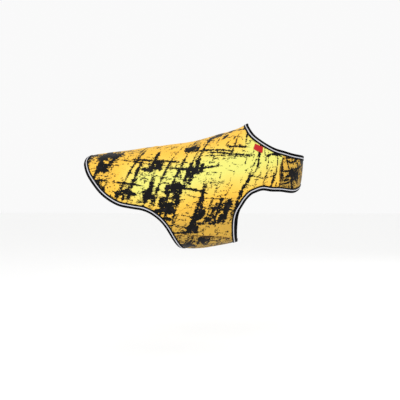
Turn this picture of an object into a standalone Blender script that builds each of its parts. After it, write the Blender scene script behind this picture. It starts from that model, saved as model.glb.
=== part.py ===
"""Dog cape: a fitted cloth coat with a chest strap, belly bands and bound, striped edges.

The cloth follows one body surface, worked out from the girth sections below. A place on that
surface is a pair (station, angle): the station counts the sections from tail to neck, and the
angle in degrees runs from 0 on the spine to 180 under the belly, positive on the wearer's right.
Every piece is a grid of such places, lifted off the surface by its own height.
"""
import math

import bpy
import numpy as np

MM = 0.001

# Girth sections from tail to neck, in mm from the withers. Each ring runs from its point on the
# back to its point on the belly or breast. "high" moves its widest part up and "square" fills it.
SECTION_COLUMNS = ("back_x", "back_z", "belly_x", "belly_z", "half_width", "high", "square")
SECTIONS = (
    (-385, -88.0, -372, -206, 60, 0.05, 0.10),
    (-342, -60.5, -338, -228, 72, 0.05, 0.12),
    (-300, -51.5, -298, -244, 81, 0.05, 0.12),
    (-250, -45.5, -248, -257, 87, 0.06, 0.12),
    (-195, -38.0, -192, -265, 91, 0.08, 0.10),
    (-140, -30.5, -135, -272.5, 96, 0.10, 0.08),
    (-90, -24.0, -80, -277, 102, 0.12, 0.06),
    (-50, -14.0, -28, -270, 106, 0.12, 0.06),
    (-22, -5.5, 22, -258.5, 107, 0.10, 0.06),
    (0, 0.0, 74, -238, 104, 0.08, 0.06),
    (17, 5.5, 120, -205, 97, 0.06, 0.06),
    (29, 10.0, 152, -167, 88, 0.04, 0.06),
    (37, 14.0, 169, -130, 80, 0.02, 0.06),
    (43.5, 17.0, 175, -95, 74, 0.00, 0.06),
    (50, 20.5, 177, -60, 70, 0.00, 0.06),
    (57, 25.0, 178, -25, 67, 0.00, 0.06),
)

# Finished edges, as rows of (station, angle) from the centre back or the breast to the belly.
HEM_EDGE = (
    (0.98, 0), (0.96, 8), (0.89, 22), (0.88, 39), (1.09, 62), (1.55, 81), (2.10, 95),
    (2.73, 104), (3.36, 107), (3.91, 109.5), (4.38, 116.5), (4.76, 129), (5.06, 148),
    (5.25, 165), (5.35, 180),
)
NECK_EDGE = (
    (14.00, 0), (13.84, 10), (13.12, 32), (12.66, 46), (12.58, 57), (12.82, 74), (13.16, 93),
    (13.59, 113), (13.90, 138), (14.06, 159), (14.10, 180),
)
LEG_EDGE = (
    (11.85, 180), (11.72, 169), (11.41, 155), (10.88, 133), (10.31, 119), (9.92, 111),
    (9.49, 108), (9.18, 108), (8.86, 111), (8.58, 116), (8.37, 121), (8.20, 129),
    (8.09, 141), (8.02, 156), (8.00, 180),
)
# Where the seams and the corners of the leg opening lie on those edges.
HEM_HAUNCH_MARK = (2.30, 98)
HEM_FLANK_MARK = (4.30, 115.5)
HEM_BELLY_MARK = (4.98, 145)
NECK_SHOULDER_MARK = (13.16, 94)
NECK_CHEST_MARK = (13.57, 112)
LEG_CHEST_MARK = (10.76, 130)
LEG_FRONT_MARK = (9.80, 110)
LEG_REAR_MARK = (8.86, 111)
LEG_BELLY_MARK = (8.02, 157)
# The seams between those marks, away from the bound edges.
CHEST_SEAM = ((12.31, 110), (11.61, 113))
BELLY_SEAM = ((5.54, 138), (6.30, 140), (7.25, 147))

# Soft folds worn into the cloth: place, length and width in mm, turn in degrees from the body's
# length, and depth in mm, negative for a trough.
FOLD_COLUMNS = ("station", "angle", "length", "width", "turn", "depth")
FOLDS = (
    (4.1, 20, 70, 26, 62, 1.8),
    (5.0, 34, 90, 24, 55, -1.5),
    (7.3, 62, 110, 26, 40, 1.6),
    (8.6, 84, 80, 22, 58, -1.8),
    (10.9, 70, 90, 22, -50, 1.5),
    (3.0, 78, 80, 24, 30, -1.6),
    (6.4, 112, 80, 24, -35, 1.6),
)

CLOTH = 2.0             # coated softshell
GAP = 0.3               # between pieces that are sewn together
TAPE = 0.8              # folded binding tape
TAPE_OUTSIDE = 11.5     # its width on the outer face
TAPE_INSIDE = 9.3       # and on the inner face
STRIPE_FROM = 6.0       # reflective stripe, measured from the finished edge
STRIPE_TO = 8.6
STRIPE = 0.5
STRIPE_GAP = 0.4
STRIPE_END = 1.0        # it stops this far from the end of its tape
LAP_HALF = 23.0         # how far each strap and belly band passes the centre line
LAP_LIFT = 4.5          # the right side's pieces lie this far above the left side's there
LIFT_FROM = 122.0       # angles over which they rise
LIFT_TO = 158.0
PAD_INSET = 1.0
LOOP_PAD = 0.8
HOOK_PAD = 0.7
LABEL_PLACE = (11.45, 69.3)
LABEL_LONG = 25.5
LABEL_HIGH = 14.0
LABEL_TURN = 28.0       # degrees from square with the neck edge
LABEL = 0.7

# Grid counts: rows go round the body, columns along it.
ROWS_BACK = 11
ROWS_FLANK = 7
ROWS_BELLY = 3
ROWS_SHOULDER = 3
ROWS_CHEST = 4
ROWS_LAP = 4
COLS_HAUNCH = 5
COLS_REAR = 10
COLS_OVER_LEG = 3
COLS_FRONT = 5
DENSE = 24              # points between two rows of an edge while it is measured
CARRIED = 4             # rows of an edge that are repeated past the centre line


def column(name, columns, table):
    """One named column of a table, as an array."""
    place = columns.index(name)
    return np.array([row[place] for row in table], float)


def through(values, place):
    """A smooth curve through the values, read at fractional places (Catmull-Rom)."""
    last = len(values) - 1
    first = np.clip(np.floor(place).astype(int), 0, last - 1)
    part = place - first
    one = values[first]
    two = values[first + 1]
    zero = np.where(first == 0, 2 * one - two, values[np.maximum(first - 1, 0)])
    three = np.where(first == last - 1, 2 * two - one, values[np.minimum(first + 2, last)])
    bend = 2 * zero - 5 * one + 4 * two - three
    twist = 3 * one - zero - 3 * two + three
    return 0.5 * (2 * one + (two - zero) * part + bend * part ** 2 + twist * part ** 3)


def eased(value):
    """0 to 1 with a level start and end."""
    value = np.clip(value, 0.0, 1.0)
    return value * value * (3 - 2 * value)


def bare_body(places):
    """Points of the body surface in mm, for an array of (station, angle)."""
    station = places[..., 0]
    turn = np.radians(places[..., 1])
    ring = {name: through(column(name, SECTION_COLUMNS, SECTIONS), station) for name in SECTION_COLUMNS}
    up = np.cos(turn)
    x = (ring["back_x"] + ring["belly_x"]) / 2 + (ring["back_x"] - ring["belly_x"]) / 2 * up
    z = (ring["back_z"] + ring["belly_z"]) / 2 + (ring["back_z"] - ring["belly_z"]) / 2 * up
    y = -ring["half_width"] * np.sin(turn) * (1 + ring["high"] * up + ring["square"] * up ** 2)
    return np.stack([x, y, z], -1)


def slopes(places):
    """How the surface moves for one station and for one degree, and its outward normal."""
    step = 0.001
    along = (bare_body(places + [step, 0]) - bare_body(places - [step, 0])) / (2 * step)
    round_ = (bare_body(places + [0, step]) - bare_body(places - [0, step])) / (2 * step)
    normal = np.cross(along, round_)
    normal /= np.linalg.norm(normal, axis=-1, keepdims=True)
    return along, round_, -normal


def fold_height(places):
    """Height of the soft folds, the same on both sides: long rounded ridges and troughs."""
    side = np.stack([places[..., 0], 180 - np.abs(180 - np.abs(places[..., 1]))], -1)
    spot = bare_body(side)
    height = np.zeros(places.shape[:-1])
    for fold in FOLDS:
        row = dict(zip(FOLD_COLUMNS, fold))
        centre = np.array([row["station"], row["angle"]], float)
        along, round_, _ = slopes(centre)
        along = along / np.linalg.norm(along)
        round_ = round_ / np.linalg.norm(round_)
        turn = math.radians(row["turn"])
        run = along * math.cos(turn) + round_ * math.sin(turn)
        across = round_ * math.cos(turn) - along * math.sin(turn)
        reach = spot - bare_body(centre)
        far = (reach @ run / (row["length"] / 2)) ** 2 + (reach @ across / (row["width"] / 2)) ** 2
        height = height + row["depth"] * np.exp(-far)
    return height


def lift(places):
    """Height that the right side's pieces gain before they lap over the left side's."""
    return LAP_LIFT * eased((places[..., 1] - LIFT_FROM) / (LIFT_TO - LIFT_FROM))


def raised(places, height):
    """Points at a height above the cloth's inner face, in metres."""
    total = height + lift(places) + fold_height(places)
    return (bare_body(places) + slopes(places)[2] * total[..., None]) * MM


def mirrored(places):
    """The same places on the other side of the body."""
    return places * [1, -1]


def edge_curve(rows):
    """A dense smooth curve through an edge's rows, carried over the centre line at both ends."""
    rows = np.array(rows, float)
    before = rows[CARRIED:0:-1] * [1, -1] + [0, 2 * rows[0, 1]]
    past = rows[-2:-2 - CARRIED:-1] * [1, -1] + [0, 2 * rows[-1, 1]]
    points = np.concatenate([before, rows, past])
    place = np.linspace(0, len(points) - 1, (len(points) - 1) * DENSE + 1)
    return np.stack([through(points[:, 0], place), through(points[:, 1], place)], -1)


def lengths(curve):
    """Length in mm along a curve, up to each of its points."""
    steps = np.linalg.norm(np.diff(bare_body(curve), axis=0), axis=1)
    return np.concatenate([[0.0], np.cumsum(steps)])


def length_at(curve, mark):
    """Length along a curve to its point nearest a mark."""
    apart = np.linalg.norm(bare_body(curve) - bare_body(np.array(mark, float)), axis=1)
    return lengths(curve)[apart.argmin()]


def divided(curve, marks, counts):
    """Points along a curve with even steps between its marks, which are lengths along it."""
    runs = [np.linspace(a, b, count + 1)[:-1] for a, b, count in zip(marks, marks[1:], counts)]
    wanted = np.concatenate(runs + [marks[-1:]])
    measured = lengths(curve)
    return np.stack([np.interp(wanted, measured, curve[:, k]) for k in (0, 1)], -1)


def beside(points, distance, side):
    """Points moved over the surface, square to the line that they form."""
    along, round_, normal = slopes(points)
    run = np.gradient(bare_body(points), axis=0)
    across = side * np.cross(normal, run)
    across /= np.linalg.norm(across, axis=-1, keepdims=True)
    aa = (along * along).sum(-1)
    ab = (along * round_).sum(-1)
    bb = (round_ * round_).sum(-1)
    pa = (across * along).sum(-1) * distance
    pb = (across * round_).sum(-1) * distance
    spread = aa * bb - ab * ab
    return points + np.stack([(pa * bb - pb * ab) / spread, (pb * aa - pa * ab) / spread], -1)


def nudged(point, towards, distance):
    """A place moved a distance in mm towards another."""
    apart = np.linalg.norm(bare_body(towards) - bare_body(point), axis=-1)
    return point + (towards - point) * (distance / apart)[..., None]


def shortened(strip, start, end):
    """A run of stations, shape (rows, stations, 2), with its ends drawn in by lengths in mm."""
    strip = strip.copy()
    strip[:, 0] = nudged(strip[:, 0], strip[:, 1], start)
    strip[:, -1] = nudged(strip[:, -1], strip[:, -2], end)
    return strip


def line(start, end, count, via=()):
    """A smooth line of count steps between two places, through the rows between them."""
    points = np.array([tuple(start)] + [tuple(row) for row in via] + [tuple(end)], float)
    place = np.linspace(0, len(points) - 1, len(points) * DENSE)
    curve = np.stack([through(points[:, 0], place), through(points[:, 1], place)], -1)
    measured = lengths(curve)
    return divided(curve, [0.0, measured[-1]], [count])


def spread_over(left, right, top, bottom):
    """A grid of places between four border lines: left and right run down, top and bottom along."""
    down = np.linspace(0, 1, len(left))[:, None, None]
    along = np.linspace(0, 1, len(top))[None, :, None]
    sides = left[:, None] * (1 - along) + right[:, None] * along
    ends = top[None] * (1 - down) + bottom[None] * down
    upper = top[0] * (1 - along) + top[-1] * along
    lower = bottom[0] * (1 - along) + bottom[-1] * along
    return sides + ends - upper * (1 - down) - lower * down


def material(name, colour, roughness, metallic=0.0):
    """A Principled material."""
    made = bpy.data.materials.new(name)
    made.use_nodes = True
    shader = made.node_tree.nodes["Principled BSDF"]
    shader.inputs["Base Color"].default_value = (*colour, 1.0)
    shader.inputs["Roughness"].default_value = roughness
    shader.inputs["Metallic"].default_value = metallic
    made.diffuse_color = (*colour, 1.0)
    return made


def joined(grids):
    """The shared points and the triangles of grids that meet along common lines."""
    index = {}
    triangles = []
    for grid in grids:
        keys = np.round(grid, 6)
        numbers = np.zeros(grid.shape[:2], int)
        for i in range(grid.shape[0]):
            for j in range(grid.shape[1]):
                numbers[i, j] = index.setdefault(tuple(keys[i, j]), len(index))
        a, b = numbers[:-1, :-1].ravel(), numbers[1:, :-1].ravel()
        c, d = numbers[1:, 1:].ravel(), numbers[:-1, 1:].ravel()
        triangles += list(zip(a, b, c)) + list(zip(a, c, d))
    return np.array(list(index)), np.array(triangles)


def thickened(name, points, triangles, thickness, finish, collection):
    """A closed sheet: the triangles, carried outwards by the thickness."""
    mesh = bpy.data.meshes.new(name)
    mesh.from_pydata(points.tolist(), [], triangles.tolist())
    mesh.materials.append(finish)
    mesh.shade_smooth()
    made = bpy.data.objects.new(name, mesh)
    collection.objects.link(made)
    solid = made.modifiers.new("Thickness", "SOLIDIFY")
    solid.thickness = thickness * MM
    solid.offset = 1.0
    solid.use_even_offset = True
    return made


def sheet(name, grids, height, thickness, finish, collection):
    """Cloth over the places of some grids, its inner side at the height and facing out."""
    places, triangles = joined(grids)
    points = raised(places, height)
    corners = points[triangles]
    facing = np.cross(corners[:, 1] - corners[:, 0], corners[:, 2] - corners[:, 0])
    outward = slopes(places[triangles[:, 0]])[2]
    inside_out = (facing * outward).sum(1) < 0
    triangles[inside_out] = triangles[inside_out][:, ::-1]
    return thickened(name, points, triangles, thickness, finish, collection)


def between(strip, distance):
    """The line of a bound edge at a distance in mm from its finished edge."""
    return strip[0] + (strip[1] - strip[0]) * (distance / TAPE_OUTSIDE)


def band(strip, start, end):
    """The part of a bound edge between two distances from its finished edge."""
    return np.stack([between(strip, start), between(strip, end)])


def folded_tape(name, strip, turn, finish, collection):
    """Binding tape folded round a cloth edge: outer leg, fold and inner leg, thickened outwards.

    Its faces are split as those of the cloth below: the first steps, up to turn, the other way.
    """
    outer = CLOTH + GAP
    inner = -GAP
    section = ((TAPE_OUTSIDE, outer), (TAPE, outer), (TAPE, inner), (TAPE_INSIDE, inner))
    rows = np.stack([raised(between(strip, far), height) for far, height in section])
    count = rows.shape[1]
    leg, step = np.meshgrid(np.arange(len(section) - 1), np.arange(count - 1), indexing="ij")
    a = (leg * count + step).ravel()
    b, c, d = a + count, a + count + 1, a + 1
    falling = ((step < turn) == (leg > 0)).ravel()[:, None]
    first = np.where(falling, np.stack([a, b, d], -1), np.stack([a, b, c], -1))
    second = np.where(falling, np.stack([b, c, d], -1), np.stack([a, c, d], -1))
    triangles = np.concatenate([first, second])
    points = rows.reshape(-1, 3)
    corners = points[triangles[0]]
    facing = np.cross(corners[1] - corners[0], corners[2] - corners[0])
    if facing @ slopes(between(strip, TAPE_OUTSIDE)[0])[2] < 0:
        triangles = triangles[:, ::-1]
    return thickened(name, points, triangles, TAPE, finish, collection)


class Pattern:
    """The cape's pattern: its bound edges as strips, and the grids of its cloth pieces."""

    def __init__(self):
        hem = edge_curve(HEM_EDGE)
        neck = edge_curve(NECK_EDGE)
        leg = edge_curve(LEG_EDGE)
        belly = length_at(hem, HEM_EDGE[-1])
        breast = length_at(neck, NECK_EDGE[-1])
        hem_marks = [length_at(hem, HEM_EDGE[0]), length_at(hem, HEM_HAUNCH_MARK), length_at(hem, HEM_FLANK_MARK),
                     length_at(hem, HEM_BELLY_MARK), belly - LAP_HALF, belly + LAP_HALF]
        neck_marks = [length_at(neck, NECK_EDGE[0]), length_at(neck, NECK_SHOULDER_MARK),
                      length_at(neck, NECK_CHEST_MARK), breast - LAP_HALF, breast + LAP_HALF]
        start = length_at(leg, LEG_EDGE[0])
        end = length_at(leg, LEG_EDGE[-1])
        leg_marks = [start - LAP_HALF, start + LAP_HALF, length_at(leg, LEG_CHEST_MARK),
                     length_at(leg, LEG_FRONT_MARK), length_at(leg, LEG_REAR_MARK),
                     length_at(leg, LEG_BELLY_MARK), end - LAP_HALF, end + LAP_HALF]
        self.hem_counts = [ROWS_BACK, COLS_HAUNCH, ROWS_FLANK, ROWS_BELLY, ROWS_LAP]
        self.neck_counts = [ROWS_BACK, ROWS_SHOULDER, ROWS_CHEST, ROWS_LAP]
        self.leg_counts = [ROWS_LAP, ROWS_CHEST, ROWS_SHOULDER, COLS_OVER_LEG, ROWS_FLANK,
                           ROWS_BELLY, ROWS_LAP]
        self.hem = self.all_round(divided(hem, hem_marks, self.hem_counts), side=-1)
        self.neck = self.all_round(divided(neck, neck_marks, self.neck_counts), side=1)
        leg_line = divided(leg, leg_marks, self.leg_counts)
        self.leg = np.stack([leg_line, beside(leg_line, TAPE_OUTSIDE, side=-1)])
        self.hem_turn = steps(self.hem_counts, 5)
        self.neck_turn = steps(self.neck_counts, 4)
        self.leg_turn = steps(self.leg_counts, 2)

    @staticmethod
    def all_round(half, side):
        """A strip from the right end over the centre back to the left end."""
        whole = np.concatenate([half[::-1], mirrored(half[1:])])
        return np.stack([whole, beside(whole, TAPE_OUTSIDE, side)])

    def run(self, edge, start, end):
        """The stations of the right half of the hem or neck strip, counted from the centre back."""
        strip = getattr(self, edge)
        middle = strip.shape[1] // 2
        return strip[:, middle - start:middle - end - 1 if end < middle else None:-1]


def steps(counts, upto):
    """How many steps the first groups of a list of counts take."""
    return sum(counts[:upto])


def body_grids(pattern):
    """The grids of the body panel: back, flanks, shoulders and the cloth under the binding."""
    hem_end = steps(pattern.hem_counts, 3)
    neck_end = steps(pattern.neck_counts, 2)
    hem = shortened(pattern.run("hem", 0, hem_end), 0.0, GAP / 2)
    neck = shortened(pattern.run("neck", 0, neck_end), 0.0, GAP / 2)
    leg_start = steps(pattern.leg_counts, 2)
    leg_end = steps(pattern.leg_counts, 5)
    leg = shortened(pattern.leg[:, leg_start:leg_end + 1], GAP / 2, GAP / 2)
    front = ROWS_SHOULDER
    rear = ROWS_SHOULDER + COLS_OVER_LEG
    flank = ROWS_BACK + COLS_HAUNCH
    rear_line = line(hem[1][flank], leg[1][rear], COLS_REAR)
    front_line = line(leg[1][front], neck[1][ROWS_BACK], COLS_FRONT)
    over_leg = leg[1][front:rear + 1][::-1]
    haunch = hem[1][ROWS_BACK:flank]
    lower = np.concatenate([haunch, rear_line, over_leg[1:], front_line[1:]])
    spine = divided(line(hem[1][0], neck[1][0], 200), *spine_steps(hem[1][0], neck[1][0], lower))
    upper = spread_over(hem[1][:ROWS_BACK + 1], neck[1][:ROWS_BACK + 1], spine, lower)
    belly_seam = seam(hem[1][-1], leg[1][-1], COLS_REAR, BELLY_SEAM, -GAP / 2)
    side = spread_over(hem[1][flank:], leg[1][rear:], rear_line, belly_seam)
    chest_seam = seam(leg[1][0], neck[1][-1], COLS_FRONT, CHEST_SEAM[::-1], -GAP / 2)
    shoulder = spread_over(leg[1][:front + 1][::-1], neck[1][ROWS_BACK:], front_line, chest_seam)
    half = [upper[:, ::-1], side, shoulder, cloth_edge(leg)]
    under_tape = [cloth_edge(hem), cloth_edge(neck)]
    return half + [mirrored(grid) for grid in half] + under_tape + [mirrored(grid) for grid in under_tape]


def spine_steps(start, end, lower):
    """Marks and counts that space the spine as the lower line of the back is spaced."""
    whole = lengths(line(start, end, 200))[-1]
    share = lengths(lower) / lengths(lower)[-1]
    return list(share * whole), [1] * (len(lower) - 1)


def seam(start, end, count, rows, shift):
    """A seam line between two bound edges, moved round the body by a distance in mm."""
    rows = np.array(rows, float)
    per_degree = np.linalg.norm(slopes(rows)[1], axis=-1)
    rows[:, 1] += shift / per_degree
    return line(start, end, count, rows)


def cloth_edge(strip):
    """The cloth inside a folded tape, from just short of the fold to the tape's inner edge."""
    return band(strip, TAPE + GAP, TAPE_OUTSIDE)


def belly_band(pattern):
    """The right belly band: its hem and leg strips and the grid between them, to its lap end."""
    hem = pattern.run("hem", steps(pattern.hem_counts, 3), steps(pattern.hem_counts, 5))
    leg = pattern.leg[:, steps(pattern.leg_counts, 5):]
    return band_between(hem, leg, COLS_REAR, BELLY_SEAM)


def chest_strap(pattern):
    """The right chest strap: its leg and neck strips and the grid between them, to its lap end."""
    neck = pattern.run("neck", steps(pattern.neck_counts, 2), steps(pattern.neck_counts, 4))
    leg = pattern.leg[:, :pattern.leg_turn + 1][:, ::-1]
    return band_between(leg, neck, COLS_FRONT, CHEST_SEAM[::-1])


def band_between(rear, front, count, seam_rows):
    """Two bound edges, drawn in at the seam, and the grid between them."""
    rear = shortened(rear, GAP / 2, 0.0)
    front = shortened(front, GAP / 2, 0.0)
    joint = seam(rear[1][0], front[1][0], count, seam_rows, GAP / 2)
    end = line(rear[1][-1], front[1][-1], count)
    return rear, front, spread_over(rear[1], front[1], joint, end)


def band_cloth(rear, front, inside):
    """The grids of a band's cloth, which ends inside the folded tape of its lap end."""
    inset = TAPE + GAP
    cloth = inside.copy()
    cloth[-1] = nudged(inside[-1], inside[-2], inset)
    return [cloth, cloth_edge(shortened(rear, 0.0, inset)), cloth_edge(shortened(front, 0.0, inset))]


def end_strip(inside):
    """The bound end of a strap or belly band, between the tapes of its two long edges."""
    return shortened(np.stack([inside[-1], inside[-2]]), GAP, GAP)


def pad_grid(inside):
    """The middle of a lap, between the two bound ends, drawn in by the pad's inset."""
    grid = shortened(inside[-ROWS_LAP:-1], PAD_INSET, PAD_INSET)
    return shortened(grid.transpose(1, 0, 2), PAD_INSET, PAD_INSET)


def label_grid():
    """A small oblong label, its long side along the neck edge."""
    centre = np.array(LABEL_PLACE, float)
    along, round_, _ = slopes(centre)
    turn = math.radians(LABEL_TURN)
    across, down = np.meshgrid(np.linspace(-0.5, 0.5, 5), np.linspace(-0.5, 0.5, 4), indexing="ij")
    far = across * LABEL_LONG
    high = down * LABEL_HIGH
    round_mm = far * math.cos(turn) - high * math.sin(turn)
    along_mm = far * math.sin(turn) + high * math.cos(turn)
    angle = centre[1] + round_mm / np.linalg.norm(round_)
    station = centre[0] + along_mm / np.linalg.norm(along)
    return np.stack([station, angle], -1)


def make_cloth(pattern, collection):
    """The body panel, the two chest straps and the two belly bands."""
    cloth = material("printed_softshell", (0.90, 0.55, 0.06), 0.55)
    sheet("body_panel", body_grids(pattern), 0.0, CLOTH, cloth, collection)
    bands = {
        "belly_band": band_cloth(*belly_band(pattern)),
        "chest_strap": band_cloth(*chest_strap(pattern)),
    }
    for name, grids in bands.items():
        sheet(f"{name}_right", grids, 0.0, CLOTH, cloth, collection)
        sheet(f"{name}_left", [mirrored(grid) for grid in grids], 0.0, CLOTH, cloth, collection)


def make_bindings(pattern, collection):
    """Folded black tape on every edge, in one length for the neck, the hem and each leg opening."""
    tape = material("black_binding_tape", (0.015, 0.015, 0.017), 0.7)
    folded_tape("neck_binding", pattern.neck, pattern.neck_turn, tape, collection)
    folded_tape("hem_binding", pattern.hem, pattern.hem_turn, tape, collection)
    folded_tape("leg_binding_right", pattern.leg, pattern.leg_turn, tape, collection)
    folded_tape("leg_binding_left", mirrored(pattern.leg), pattern.leg_turn, tape, collection)
    ends = {
        "belly_end": end_strip(belly_band(pattern)[2]),
        "chest_end": end_strip(chest_strap(pattern)[2]),
    }
    for name, strip in ends.items():
        turn = strip.shape[1]
        folded_tape(f"{name}_binding_right", strip, turn, tape, collection)
        folded_tape(f"{name}_binding_left", mirrored(strip), turn, tape, collection)


def make_stripes(pattern, collection):
    """Silver reflective stripes on the tapes, ending where a left piece goes under a right one."""
    silver = material("reflective_stripe", (0.62, 0.62, 0.66), 0.35, 0.3)
    height = CLOTH + GAP + TAPE + STRIPE_GAP
    lap = ROWS_LAP
    left_leg = mirrored(pattern.leg)[:, lap:-lap]
    strips = {
        "neck_stripe": (pattern.neck[:, :-lap], pattern.neck_turn),
        "hem_stripe": (pattern.hem[:, :-lap], pattern.hem_turn),
        "leg_stripe_right": (pattern.leg, pattern.leg_turn),
        "leg_stripe_left": (left_leg, pattern.leg_turn - lap),
    }
    for name, (strip, turn) in strips.items():
        grid = band(shortened(strip, STRIPE_END, STRIPE_END), STRIPE_FROM, STRIPE_TO)
        halves = [grid[:, :turn + 1][:, ::-1], grid[:, turn:]]
        sheet(name, halves, height, STRIPE, silver, collection)


def make_fastenings(pattern, collection):
    """Hook and loop pads inside the two laps: loop on the left piece, hook under the right one."""
    loop = material("loop_tape", (0.03, 0.03, 0.033), 0.9)
    hook = material("hook_tape", (0.02, 0.02, 0.022), 0.6)
    pads = {
        "belly": pad_grid(belly_band(pattern)[2]),
        "chest": pad_grid(chest_strap(pattern)[2]),
    }
    for name, grid in pads.items():
        sheet(f"{name}_loop_pad", [mirrored(grid)], CLOTH + GAP, LOOP_PAD, loop, collection)
        sheet(f"{name}_hook_pad", [grid], -GAP - HOOK_PAD, HOOK_PAD, hook, collection)


def make_label(collection):
    """A small bare label sewn beside the neck binding on the right."""
    red = material("red_label", (0.72, 0.07, 0.06), 0.6)
    sheet("neck_label", [label_grid()], CLOTH + GAP, LABEL, red, collection)


def main():
    """Clear the scene and make every piece of the cape."""
    for old in list(bpy.data.objects):
        bpy.data.objects.remove(old)
    collection = bpy.data.collections.new("dog_cape")
    bpy.context.scene.collection.children.link(collection)
    pattern = Pattern()
    make_cloth(pattern, collection)
    make_bindings(pattern, collection)
    make_stripes(pattern, collection)
    make_fastenings(pattern, collection)
    make_label(collection)


main()
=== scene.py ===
"""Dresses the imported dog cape: printed cloth, bound edges, reflective stripes, stitching and label.

The cape's own surface is worked out again here from the same girth sections and edges as its
solids, on finer grids. A place on it is a pair (station, angle): stations count the sections from
tail to neck, and the angle in degrees runs from 0 on the spine to 180 under the belly, positive on
the wearer's right. Lengths are in millimetres until a mesh is made, in metres.
"""

import logging
import math
from dataclasses import dataclass, field, replace
from enum import Enum
from typing import Callable, Sequence

import bpy
import numpy as np
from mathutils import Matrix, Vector


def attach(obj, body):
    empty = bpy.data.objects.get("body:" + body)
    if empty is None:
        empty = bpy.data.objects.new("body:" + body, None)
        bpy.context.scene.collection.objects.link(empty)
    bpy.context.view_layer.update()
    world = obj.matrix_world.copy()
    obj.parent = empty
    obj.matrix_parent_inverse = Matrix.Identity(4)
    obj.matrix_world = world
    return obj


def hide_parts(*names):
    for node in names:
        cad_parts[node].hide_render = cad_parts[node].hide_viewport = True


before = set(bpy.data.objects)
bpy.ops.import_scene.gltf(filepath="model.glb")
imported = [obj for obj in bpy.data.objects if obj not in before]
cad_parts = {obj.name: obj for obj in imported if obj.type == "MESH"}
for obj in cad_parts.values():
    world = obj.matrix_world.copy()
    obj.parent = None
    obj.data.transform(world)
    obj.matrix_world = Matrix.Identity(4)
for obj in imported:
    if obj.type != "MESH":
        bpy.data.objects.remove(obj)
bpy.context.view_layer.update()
LOG = logging.getLogger("dog_cape")
MM = 0.001
Array = np.ndarray
Pair = tuple[float, float]
Rows = Sequence[Sequence[float]]
Band = tuple[Array, Array, Array]
Object = bpy.types.Object
Tree = bpy.types.NodeTree
Socket = bpy.types.NodeSocket

# The girth sections from tail to neck: two points in mm, half a width, and two shares of it.
SECTION_COLUMNS = ("back_x", "back_z", "belly_x", "belly_z", "half_width", "high", "square")
SECTIONS = (
    (-385, -88.0, -372, -206, 60, 0.05, 0.10),
    (-342, -60.5, -338, -228, 72, 0.05, 0.12),
    (-300, -51.5, -298, -244, 81, 0.05, 0.12),
    (-250, -45.5, -248, -257, 87, 0.06, 0.12),
    (-195, -38.0, -192, -265, 91, 0.08, 0.10),
    (-140, -30.5, -135, -272.5, 96, 0.10, 0.08),
    (-90, -24.0, -80, -277, 102, 0.12, 0.06),
    (-50, -14.0, -28, -270, 106, 0.12, 0.06),
    (-22, -5.5, 22, -258.5, 107, 0.10, 0.06),
    (0, 0.0, 74, -238, 104, 0.08, 0.06),
    (17, 5.5, 120, -205, 97, 0.06, 0.06),
    (29, 10.0, 152, -167, 88, 0.04, 0.06),
    (37, 14.0, 169, -130, 80, 0.02, 0.06),
    (43.5, 17.0, 175, -95, 74, 0.00, 0.06),
    (50, 20.5, 177, -60, 70, 0.00, 0.06),
    (57, 25.0, 178, -25, 67, 0.00, 0.06),
)
# Edges, marks on them and seams, as places: station and angle.
HEM_EDGE = (
    (0.98, 0), (0.96, 8), (0.89, 22), (0.88, 39), (1.09, 62), (1.55, 81), (2.10, 95),
    (2.73, 104), (3.36, 107), (3.91, 109.5), (4.38, 116.5), (4.76, 129), (5.06, 148),
    (5.25, 165), (5.35, 180),
)
NECK_EDGE = (
    (14.00, 0), (13.84, 10), (13.12, 32), (12.66, 46), (12.58, 57), (12.82, 74), (13.16, 93),
    (13.59, 113), (13.90, 138), (14.06, 159), (14.10, 180),
)
LEG_EDGE = (
    (11.85, 180), (11.72, 169), (11.41, 155), (10.88, 133), (10.31, 119), (9.92, 111),
    (9.49, 108), (9.18, 108), (8.86, 111), (8.58, 116), (8.37, 121), (8.20, 129),
    (8.09, 141), (8.02, 156), (8.00, 180),
)
HEM_MARKS = ((2.30, 98), (4.30, 115.5), (4.98, 145))
NECK_MARKS = ((13.16, 94), (13.57, 112))
LEG_MARKS = ((10.76, 130), (9.80, 110), (8.86, 111), (8.02, 157))
CHEST_SEAM = ((11.61, 113), (12.31, 110))
BELLY_SEAM = ((5.54, 138), (6.30, 140), (7.25, 147))

# Soft folds worn into the cloth: place, length, width, turn from the body's length, depth.
FOLD_COLUMNS = ("station", "angle", "length", "width", "turn", "depth")
FOLDS = (
    (4.1, 20, 70, 26, 62, 1.8),
    (5.0, 34, 90, 24, 55, -1.5),
    (7.3, 62, 110, 26, 40, 1.6),
    (8.6, 84, 80, 22, 58, -1.8),
    (10.9, 70, 90, 22, -50, 1.5),
    (3.0, 78, 80, 24, 30, -1.6),
    (6.4, 112, 80, 24, -35, 1.6),
)
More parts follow.
